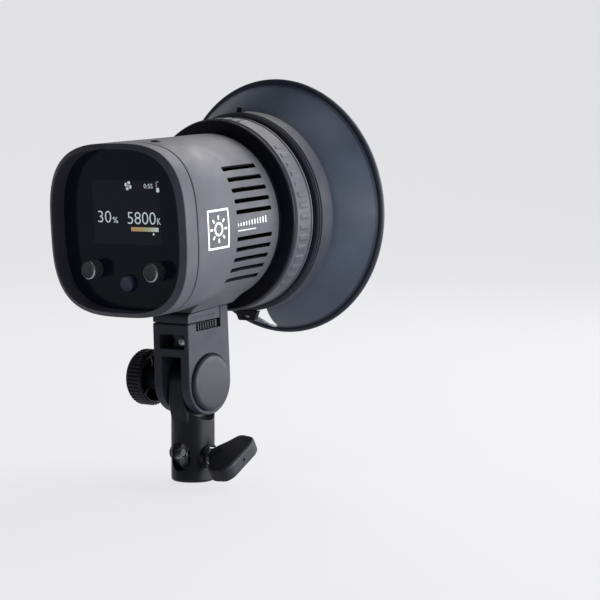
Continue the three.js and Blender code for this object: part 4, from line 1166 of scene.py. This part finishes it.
def reflector_collar():
    """Clamping band: two thin beads at its rear edge, then a plain textured band."""
    rear, front = collar_low.y, collar_high.y
    inner_step = extent("reflector_dish", BARREL)[0].y - 0.3
    beads = [
        (2.6, 0, 0.3), (1.5, 0.5, 0.4), (1.5, 1.0, 0.2), (1.8, 1.2, 0.1), (0.7, 1.5, 0.3), (0.7, 2.2, 0.3),
        (1.0, 2.5, 0.1), (0, 3.1, 0.3),
    ]
    profile = [(BAND_BORE_R, rear, 0.3)]
    profile += [(COLLAR_R - depth, rear + along, ease) for depth, along, ease in beads]
    profile += [(COLLAR_R, front - 0.3, 0.25), (COLLAR_R - 2.3, front), (COLLAR_R - 2.3, inner_step)]
    profile += [(BAND_BORE_R, inner_step, 0.3)]
    return turned(profile, 216)


piece("rear_flange", front_flange(), BARREL, "head", DARK_TRIM_AND_FLANGE_SHADE, ["front_flange"])
piece("grip_ring", lock_ring(), BARREL, "lock_ring", RING_GRAIN, ["lock_ring"], smooth=40)
piece("mount_tube", bayonet_mount(), BARREL, "head", ANODISED, ["bayonet_mount"])
piece("retainer", glass_retainer(), BARREL, "head", KNOB_BLACK, ["glass_retainer"])
piece("lens", front_glass(), BARREL, "head", FROST, ["front_glass"])
piece(
    "collar_band", reflector_collar(), BARREL, "reflector", BAND_GRAIN_SHADE,
    ["reflector_collar"],
)


# ---------------------------------------------------------------- umbrella reflector

dish_low, dish_high = extent("reflector_dish", BARREL)
BEAD_R = 2.2
RIM_R = dish_high.x
RIM_Y = dish_high.y - BEAD_R
SLEEVE_Y = dish_low.y
SHEET = 1.3
FLARE_Y = collar_high.y + 0.3
FLARE_CURVE = 1.15
UMBRELLA_X = -6.3


def flare(t, offset):
    """Point of the dish's sheet a share t of the way to its rim, offset forwards through the sheet."""
    radius = COLLAR_R - 1 + (RIM_R - BEAD_R - COLLAR_R + 1.2) * t
    y = FLARE_Y + SHEET + (RIM_Y - FLARE_Y - SHEET) * t**FLARE_CURVE
    return radius - offset * 0.8, y + offset * 0.8


def reflector_dish():
    """Spun dish with a rolled rim and the umbrella's opening in its lower wall.

    Its face towards the subject has the second material, and the rolled rim the third: darker paint as
    painted shade.
    """
    sleeve_r = COLLAR_R - 2.6
    outside = [(sleeve_r - SHEET, SLEEVE_Y, 0.2), (sleeve_r, SLEEVE_Y, 0.2), (sleeve_r, FLARE_Y, 0.3)]
    outside += [(COLLAR_R - 1.8, FLARE_Y + 0.2, 0.3)]
    outside += [flare(i / 24, 0) for i in range(24)]
    bead = arc(RIM_R - BEAD_R, RIM_Y, BEAD_R, -118, 150, 20)
    inside = [flare(i / 24, SHEET) for i in range(23, 0, -1)]
    inside += [(sleeve_r - SHEET, FLARE_Y + SHEET + 0.6, 0.6)]
    bm = turned(outside + bead + inside, 240)
    opening = [(UMBRELLA_X - 13, -COLLAR_R + 0.5), (UMBRELLA_X - 5.5, -RIM_R + 9)]
    opening += arc(UMBRELLA_X, -RIM_R + 9, 5.5, 180, 360, 12)[1:]
    opening += [(UMBRELLA_X + 13, -COLLAR_R + 0.5)]
    bm = cut(bm, prism(opening, FLARE_Y - 2, RIM_Y + 10, "Y"))
    for face in bm.faces:
        middle = face.calc_center_median() / MM
        if math.hypot(middle.x, middle.z) > RIM_R - 2 * BEAD_R:
            face.material_index = 2
        elif face.normal.y > 0.25 and 0.8 * face.normal.y - outwards(face) > 0.3:
            face.material_index = 1
    return bm


def index_block():
    """Alignment mark on the collar: a low block with a groove across it."""
    low, high = extent("index_block", BARREL)
    block = prism(box_outline(low.x, high.x, low.y, high.y, 0.5), low.z, high.z, "Z", rim=0.35)
    middle = (low.x + high.x) / 2
    groove = box_outline(middle - 0.35, middle + 0.35, low.y - 1, high.y + 1)
    block = cut(block, prism(groove, high.z - 0.6, high.z + 1, "Z"))
    foot = box_outline(low.x - 0.4, high.x + 0.4, low.y - 0.4, high.y + 0.4, 0.4)
    return joined(softened(block, 0.1, sharper_than=50), prism(foot, low.z - 0.4, low.z + 0.6, "Z"))


def umbrella_tab():
    """Tapered rest under the collar with a slot through it."""
    low, high = extent("umbrella_tab", BARREL)
    outline = [(-10, high.z + 0.4), (10, high.z + 0.4), (7, low.z, 0.9), (-7, low.z, 0.9)]
    tab = prism(outline, low.y, high.y, "Y", rim=0.4)
    slot = prism(box_outline(-3, 3, low.z + 2, low.z + 3.6, 0.7), low.y - 2, high.y + 2, "Y")
    return softened(cut(tab, slot), 0.2, sharper_than=50)


piece(
    "dish", reflector_dish(), BARREL, "reflector", [DISH_OUTSIDE, DISH_INSIDE, DISH_BEAD_SHADE],
    ["reflector_dish"], flat_faces=False,
)
piece("index_mark", index_block(), BARREL, "reflector", DARK_TRIM_AND_FLANGE_SHADE, ["index_block"])
piece("umbrella_rest", umbrella_tab(), BARREL, "reflector", CAST_BLACK, ["umbrella_tab"])


# ---------------------------------------------------------------- quick-release plate and yoke

yoke_low, yoke_high = extent("yoke", HEAD)
latch_low, latch_high = extent("release_latch", HEAD)
YOKE_HALF = yoke_high.x
YOKE_REAR_Y = -21
YOKE_TOP = plate_low.z - 0.3
LIP_Y = plate_high.y + 0.3
ARM_END_R = -yoke_low.z
ARM_GAP = 8.5
ARM_GAP_TOP = 19.7
CAP_R = extent("pivot_cap", HEAD)[1].z
CAP_SEAT = (13.9, 18)  # the sunk seat of the pivot cap, along the bolt
UMBRELLA_Z = 30
UMBRELLA_R = 4.2
SCREW_X = 7.4


def release_plate():
    """Sliding plate under the head: a rounded rear nose and a shallow groove along each side."""
    low, high = plate_low, plate_high
    rear_top = joint_z(low.y) - JOINT_HALF_GAP
    outline = [(low.y, low.z, 0.5), (high.y, low.z, 0.5), (high.y, high.z, 0.4), (low.y, rear_top, 3.2)]
    bm = prism(outline, low.x, high.x, "X", rim=0.5)
    grooves = [
        prism(box_outline(low.y + 4, high.y - 6, low.z + 3.4, low.z + 4.1, 0.2), side - 0.5, side + 0.5, "X")
        for side in (low.x, high.x)
    ]
    return softened(cut(bm, *grooves), 0.12, sharper_than=60)


def yoke():
    """Forked block: rounded flanks, a slot for the knuckle, the umbrella hole and the latch's window."""
    rear, front = YOKE_REAR_Y, yoke_high.y
    outline = [(LIP_Y, YOKE_TOP), (LIP_Y, joint_z(LIP_Y) - JOINT_HALF_GAP, 0.5)]
    outline += [(front, joint_z(front) - JOINT_HALF_GAP, 1.2)]
    outline += arc(0, 0, ARM_END_R, 0, -180, 48)
    outline += [(rear, YOKE_TOP, 0.5)]
    bm = prism(outline, -YOKE_HALF, YOKE_HALF, "X", rim=1.0, steps=4)
    slot = prism(box_outline(-30, 30, -30, ARM_GAP_TOP), -ARM_GAP, ARM_GAP, "X")
    recess = prism(box_outline(-10, 12, UMBRELLA_Z - 5, UMBRELLA_Z + 5, 1.2), rear - 4, rear + 6.4, "Y")
    umbrella = moved(cylinder(UMBRELLA_R, -40, 40, 48), UMBRELLA_X, 0, UMBRELLA_Z)
    seat = shifted(cylinder(CAP_R + 0.55, *CAP_SEAT, 144), Y_TO_X)
    window = box_outline(latch_low.y - 0.3, latch_high.y + 3.3, latch_low.z - 0.4, YOKE_TOP + 3)
    bm = cut(bm, slot, recess, umbrella, seat, prism(window, 9.5, YOKE_HALF + 2, "X"))
    return softened(bm, 0.35, sharper_than=45)


def release_latch():
    """Slider with a row of upright thumb ribs."""
    low, high = latch_low, latch_high
    face = high.x - 1.0
    slider = prism(box_outline(low.y, high.y, low.z, high.z, 0.5), low.x, face, "X", rim=0.25)
    ribs = []
    width = 1.3
    y = low.y + 1
    while y < high.y - width:
        rib = box_outline(y, y + width, low.z + 0.3, high.z - 0.3, 0.4)
        ribs.append(prism(rib, face - 0.6, high.x, "X", rim=0.35))
        y += 2 * width
    return joined(slider, *ribs)


def yoke_screw():
    """Pan-head screw with a cross recess."""
    profile = [(0, -19.4), (1.6, -19.25, 0.8), (3.1, -18.5, 0.4), (3.2, -16.6, 0.2), (1.5, -16.6)]
    profile += [(1.5, -5), (0, -5)]
    cross = [prism(box_outline(-w, w, -h, h, 0.1), -20, -18.2, "Y") for w, h in ((0.3, 1.8), (1.8, 0.3))]
    return softened(cut(turned(profile, 72), *cross), 0.08, sharper_than=60)


piece("slide_plate", release_plate(), HEAD, "head", YOKE_SKIN, ["quick_release_plate"])
piece("yoke_block", yoke(), HEAD, "head", YOKE_SKIN, ["yoke"])
piece("thumb_latch", release_latch(), HEAD, "release_latch", HANDLE_BLACK, ["release_latch"])
piece("cross_screw", yoke_screw(), at(HEAD, SCREW_X, 0, UMBRELLA_Z), "head", STEEL, ["yoke_screw"])


# ---------------------------------------------------------------- tilt pivot

AXLE = HEAD @ Y_TO_X
tilt_low, tilt_high = extent("tilt_knob", HEAD)
TILT_R = tilt_high.z
RIM_X = -31.8  # inner edge of the hand knob's rim
FLUTES = 44
WEBS = 6


def pivot_cap():
    """Low dome with a rounded edge."""
    low, high = extent("pivot_cap", HEAD)
    profile = [(0, high.x), ((CAP_R - 6) / 2, high.x - 0.1), (CAP_R - 6, high.x - 0.25)]
    for angle in (0.1, 0.4, 0.7, 1.0, 1.3, 1.57):
        radius = CAP_R - 3.2 * (1 - math.sin(angle))
        profile.append((radius, high.x - 0.3 - 2.4 * (1 - math.cos(angle))))
    return turned(profile + [(CAP_R, low.x + 0.3), (CAP_R - 0.2, low.x), (0, low.x)], 160)


def tilt_knob():
    """Hand knob: fluted rim, plain bevel and outer face, hollow towards the yoke with six curved webs."""
    outer, inner = tilt_low.x, tilt_high.x

    def flutes(angle, radius, x):
        if radius < TILT_R - 0.05 or not outer + 2.6 < x < RIM_X - 2.2:
            return radius
        return radius - 0.8 * (0.5 - 0.5 * math.cos(FLUTES * angle)) ** 2

    profile = [(0, outer + 0.6), (10.5, outer + 0.6, 0.6), (11.2, outer, 0.5), (TILT_R - 2.8, outer, 1.2)]
    profile += [(TILT_R - 0.9, outer + 1.6, 0.6), (TILT_R - 0.75, outer + 2.6), (TILT_R, outer + 2.8)]
    profile += [(TILT_R, -38), (TILT_R, RIM_X - 2.6), (TILT_R, RIM_X - 2.3)]
    profile += [(TILT_R - 0.8, RIM_X - 1.9, 0.15), (TILT_R - 1.2, RIM_X - 0.3, 0.5)]
    profile += [(TILT_R - 3.2, RIM_X, 0.6), (TILT_R - 3.2, outer + 3, 0.8), (8.6, outer + 3, 0.8)]
    profile += [(8, -20, 0.3), (8, inner, 0.5), (7.2, inner), (7.2, -26.5), (0, -26.5)]
    webs = []
    for i in range(WEBS):
        curve = [(x - 12 + 1.6, y * 0.62 + 12.0) for x, y in arc(0, 0, 12, -38, 38, 8)]
        outline = curve + [(x - 1.6, y) for x, y in reversed(curve)]
        web = prism(outline, outer + 2.6, RIM_X - 2.2, "Z", rim=0.25)
        turn = Matrix.Rotation(2 * math.pi * i / WEBS + 0.26, 4, "Y")
        webs.append(shifted(web, turn @ Matrix.Rotation(-math.pi / 2, 4, "X")))
    return joined(turned(profile, 12 * FLUTES, ripple=flutes), *webs)


piece("side_cap", pivot_cap(), AXLE, "head", CAP_SKIN, ["pivot_cap"])
piece("hand_knob", tilt_knob(), AXLE, "tilt_knob", HANDLE_BLACK, ["tilt_knob"], smooth=50)


# ---------------------------------------------------------------- stand adaptor and clamp

adaptor_high = extent("stand_adaptor", STAND)[1]
PIVOT_Z = PIVOT.z / MM
TUBE_R = adaptor_high.x
KNUCKLE_R = adaptor_high.y
KNUCKLE_HALF = 7
SEAT_R = 24.5
BORE_R = 8.2
BOLT_HOLE_R = 4.3
CLAMP_BOSS_R = 8.4
CLAMP_HOLE_R = 6.2
PIN_HOLE_R = 2.8
TUBE_TOP = 54  # inside the knuckle
SPIGOT_TOP = 38
CLAMP_Z = centre("clamp_screw").z / MM
CLAMP_AXIS = at(STAND, 0, 0, CLAMP_Z) @ Y_TO_X
HANDLE_ANGLE = 29


def stand_adaptor():
    """Casting: a socket tube, hollowed for the yoke's arms, that runs up into the tilt knuckle."""
    profile = [(0, 0), (TUBE_R - 1.2, 0, 0.5), (TUBE_R, 1.2, 0.7), (TUBE_R, TUBE_TOP), (0, TUBE_TOP)]
    tube = shifted(turned(profile, 128), Y_TO_Z)
    seat_profile = [(0, KNUCKLE_HALF), (SEAT_R, KNUCKLE_HALF), (SEAT_R, 10.5)]
    seat_profile += [(SEAT_R + 2.8, TUBE_R + 2), (0, TUBE_R + 2)]
    seats = []
    for side in (0, math.pi):
        seat = shifted(turned(seat_profile, 192), Matrix.Rotation(side, 4, "Z") @ Y_TO_X)
        seats.append(moved(seat, 0, 0, PIVOT_Z))
    side_profile = [(11.2, 31), (12.9, 37, 3), (15.4, 44.5, 5), (18.1, 52, 4), (KNUCKLE_R, PIVOT_Z - 5, 4)]
    outline = side_profile + [(y, PIVOT_Z + z) for y, z in arc(0, 0, KNUCKLE_R, 0, 180, 48)]
    outline += [(-corner[0], *corner[1:]) for corner in reversed(side_profile)]
    web = prism(outline, -KNUCKLE_HALF, KNUCKLE_HALF, "X", rim=1.6, steps=4)
    boss = moved(shifted(cylinder(CLAMP_BOSS_R, 8, TUBE_R + 0.8), Y_TO_X), 0, 0, CLAMP_Z)
    body = united(cut(tube, *seats), web, boss)
    bore = [(0, -1), (BORE_R + 1, -1), (BORE_R, 1), (BORE_R, SPIGOT_TOP), (0, SPIGOT_TOP)]
    socket = shifted(turned(bore, 96), Y_TO_Z)
    cross = moved(cylinder(BORE_R, -30, 30), 0, 0, CLAMP_Z)
    sinks = []
    for side in (0, math.pi):
        sink = turned([(0, 11.4), (BORE_R - 0.1, 11.4), (BORE_R + 2.3, 16), (0, 16)], 96)
        sinks.append(moved(shifted(sink, Matrix.Rotation(side, 4, "Z")), 0, 0, CLAMP_Z))
    bolt = moved(shifted(cylinder(BOLT_HOLE_R, -30, 30, 48), Y_TO_X), 0, 0, PIVOT_Z)
    clamp_hole = moved(shifted(cylinder(CLAMP_HOLE_R, 0, 30, 64), Y_TO_X), 0, 0, CLAMP_Z)
    pin_hole = moved(shifted(cylinder(PIN_HOLE_R, -30, 0, 48), Y_TO_X), 0, 0, CLAMP_Z)
    body = cut(body, socket, cross, *sinks, bolt, clamp_hole, pin_hole)
    return softened(body, 0.4, sharper_than=35, steps=3)


def clamp_screw():
    """Screw with a ridged collar that shows between the adaptor and the handle."""
    low, high, collar_end = 10.3, 27, 18.4
    profile = [(0, low), (4.5, low, 0.2), (4.9, low + 0.5), (4.9, TUBE_R + 0.3)]
    x = TUBE_R + 0.5
    while x < collar_end - 0.2:
        profile += [(5.8, x), (5.2, x + 0.3)]
        x += 0.6
    profile += [(5.8, collar_end, 0.2), (3.5, collar_end), (3.5, high), (0, high)]
    return turned(profile, 96)


def stop_pin():
    """Low round head with a hexagon socket, and its shank."""
    profile = [(0, -17.4), (4.6, -17.4, 0.2), (5.6, -16.4, 0.5), (5.6, -15.3, 0.1), (2.5, -15.3)]
    profile += [(2.5, -8.6), (0, -8.6)]
    hexagon = arc(0, 0, 2.3, 0, 300, 5)
    socket = prism(hexagon, -18, -15.9, "Y")
    return softened(cut(turned(profile, 72), socket), 0.12, sharper_than=50)


def clamp_handle():
    """Wing handle: a neck that widens into a crossbar, soft all round, with a small dimple on its end."""
    upper = [(18.7, 5.5, 1.2), (21.5, 8.5, 2), (24.2, 12, 3), (28.2, 19.6, 3.2), (32, 20.6, 1.5)]
    upper += [(41.4, 19.6, 2.6), (44.5, 14, 2.4)]
    outline = upper + [(a, -b, ease) for a, b, ease in reversed(upper)]
    wing = prism(outline, -5.5, 5.5, "Z", rim=2.1, steps=5)
    dimple = shifted(cylinder(1.1, 43.4, 50, 32), Y_TO_X)
    bore = shifted(cylinder(3.8, 10, 27.4, 48), Y_TO_X)
    wing = softened(cut(wing, dimple, bore), 0.25, sharper_than=55)
    return shifted(wing, Matrix.Rotation(math.radians(HANDLE_ANGLE), 4, "X"))


def washer(node):
    low, high = extent(node, at(STAND, 0, 0, PIVOT_Z))
    inner, outer = BOLT_HOLE_R, high.z
    return turned([(inner, low.x), (outer, low.x, 0.3), (outer, high.x, 0.3), (inner, high.x)], 96)


piece("adaptor_casting", stand_adaptor(), STAND, "adaptor", CAST_BLACK, ["stand_adaptor"])
piece("stop_screw", stop_pin(), CLAMP_AXIS, "adaptor", DARK_STEEL, ["stop_pin"])
for side in ("left", "right"):
    node = f"friction_washer_{side}"
    place = at(STAND, 0, 0, PIVOT_Z) @ Y_TO_X
    piece(f"washer_{side}", washer(node), place, "adaptor", RUBBER, [node])
piece("clamp_neck", clamp_screw(), CLAMP_AXIS, "clamp", STEEL, ["clamp_screw"])
piece(
    "wing_handle", clamp_handle(), at(STAND, 0, 0, CLAMP_Z), "clamp", HANDLE_BLACK,
    ["clamp_handle"],
)


# ---------------------------------------------------------------- pieces kept from the frame

KEPT = (
    ("steel", STEEL, (
        "display_module", "brightness_plunger", "colour_plunger", "brightness_shaft", "colour_shaft",
        "charge_port", "plate_screw_rear", "plate_screw_front", "tilt_bolt", "knob_nut",
    )),
    ("black_plastic", KNOB_BLACK, (
        "brightness_encoder", "colour_encoder", "menu_switch", "chassis", "fan_frame", "fan_rotor",
    )),
    ("board", CIRCUIT, ("control_board", "driver_board")),
    ("aluminium", ANODISED, ("heat_sink",)),
    ("aluminium", ALUMINIUM, ("led_board", "light_cone")),
    ("battery", BATTERY_WRAP, ("battery_pack",)),
    ("emitter", PHOSPHOR, ("led_emitter",)),
    ("brass", BRASS, ("clamp_pad",)),
)


def keep_from_frame():
    """CAD nodes whose shape is right: they only get a finished material."""
    for slot, material, nodes in KEPT:
        for node in nodes:
            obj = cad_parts[node]
            obj.data.materials.clear()
            obj.data.materials.append(material)


keep_from_frame()


# ---------------------------------------------------------------- floor, light and camera

LENS = 118.2
CAMERA_DISTANCE = 1350
CAMERA_AZIMUTH = math.radians(36.4)
CAMERA_PITCH = math.radians(4.2)
CAMERA_RIGHT = 73.5  # how far the view's middle lies to the right of the pivot, and above it
CAMERA_UP = 55.2
FLOOR_DROP = 0.0005  # metres; keeps the floor clear of the adaptor's foot
FLOOR_GLOW = 0.73
FILL_STRENGTH = 0.045
AIM = (0.0, 0.0, 0.17)  # metres; where the lights point


def stage_floor():
    """Pale sweep, in metres: a floor that curves up into a backdrop, far larger than the object."""
    front, back, rise, bend, half = -3.0, 3.2, 3.6, 1.2, 5.0
    points = [(front, 0.0)] + arc(back - bend, bend, bend, -90, 0, 16) + [(back, rise)]
    bm = bmesh.new()
    turn = Matrix.Rotation(CAMERA_AZIMUTH, 4, "Z")
    rows = [[bm.verts.new(turn @ Vector((x, y, z - FLOOR_DROP))) for x in (-half, half)] for y, z in points]
    for a, b in zip(rows, rows[1:]):
        bm.faces.new([a[0], a[1], b[1], b[0]])
    mesh = bpy.data.meshes.new("studio_floor")
    bm.to_mesh(mesh)
    bm.free()
    mesh.shade_smooth()
    floor = bpy.data.objects.new("studio_floor", mesh)
    bpy.context.scene.collection.objects.link(floor)
    paint = Paint("studio_floor", srgb(64, 64, 65), 0.8, specular=0.1)
    paint.base(paint.mottle(0.004, 0.01))
    paint.glow((1, 1, 1.02), FLOOR_GLOW)
    mesh.materials.append(paint.material)


def area_light(name, position, target, size, energy, colour=(1, 1, 1)):
    """A soft light, out of the camera's sight; positions and sizes are in metres."""
    data = bpy.data.lights.new(name, "AREA")
    data.shape = "RECTANGLE"
    data.size, data.size_y = size
    data.energy = energy
    data.color = colour
    light = bpy.data.objects.new(name, data)
    light.visible_camera = False
    light.location = position
    light.rotation_euler = (Vector(target) - Vector(position)).to_track_quat("-Z", "Y").to_euler()
    bpy.context.scene.collection.objects.link(light)


def camera():
    """Long lens behind and to the right of the light, that looks slightly down."""
    a, p = CAMERA_AZIMUTH, CAMERA_PITCH
    forward = Vector((-math.sin(a) * math.cos(p), math.cos(a) * math.cos(p), -math.sin(p)))
    right = Vector((math.cos(a), math.sin(a), 0))
    up = right.cross(forward)
    data = bpy.data.cameras.new("camera")
    data.lens = LENS
    data.clip_start = 0.05
    data.clip_end = 30
    obj = bpy.data.objects.new("camera", data)
    obj.location = PIVOT - (forward * CAMERA_DISTANCE - right * CAMERA_RIGHT - up * CAMERA_UP) * MM
    obj.rotation_euler = forward.to_track_quat("-Z", "Y").to_euler()
    bpy.context.scene.collection.objects.link(obj)
    bpy.context.scene.camera = obj


def studio():
    """A pale room that looks bright but gives little light of its own, and five soft lights."""
    world = bpy.data.worlds.new("studio")
    world.use_nodes = True
    tree = world.node_tree
    fill = tree.nodes["Background"]
    fill.inputs["Color"].default_value = (0.92, 0.95, 1.0, 1)
    fill.inputs["Strength"].default_value = FILL_STRENGTH
    backdrop = tree.nodes.new("ShaderNodeBackground")
    backdrop.inputs["Color"].default_value = (0.89, 0.89, 0.9, 1)
    ray = tree.nodes.new("ShaderNodeLightPath")
    either = tree.nodes.new("ShaderNodeMixShader")
    tree.links.new(ray.outputs["Is Camera Ray"], either.inputs["Fac"])
    tree.links.new(fill.outputs["Background"], either.inputs[1])
    tree.links.new(backdrop.outputs["Background"], either.inputs[2])
    tree.links.new(either.outputs["Shader"], tree.nodes["World Output"].inputs["Surface"])
    bpy.context.scene.world = world
    area_light("key", (1.2, 1.45, 0.38), AIM, (1.1, 0.8), 46, (0.98, 0.99, 1.0))
    area_light("top", (0.1, 1.3, 1.35), AIM, (1.5, 1.0), 50, (1.0, 0.99, 0.98))
    area_light("top_rear", (0.3, -0.35, 1.7), AIM, (1.2, 0.8), 9, (0.97, 0.98, 1.0))
    area_light("low_side", (1.4, 0.3, 0.13), (0.0, 0.03, 0.15), (0.9, 0.24), 20)
    area_light("rear_edge", (1.0, -0.55, 0.75), AIM, (0.35, 0.35), 1.6)
    bpy.context.scene.view_settings.view_transform = "Standard"


stage_floor()
studio()
camera()
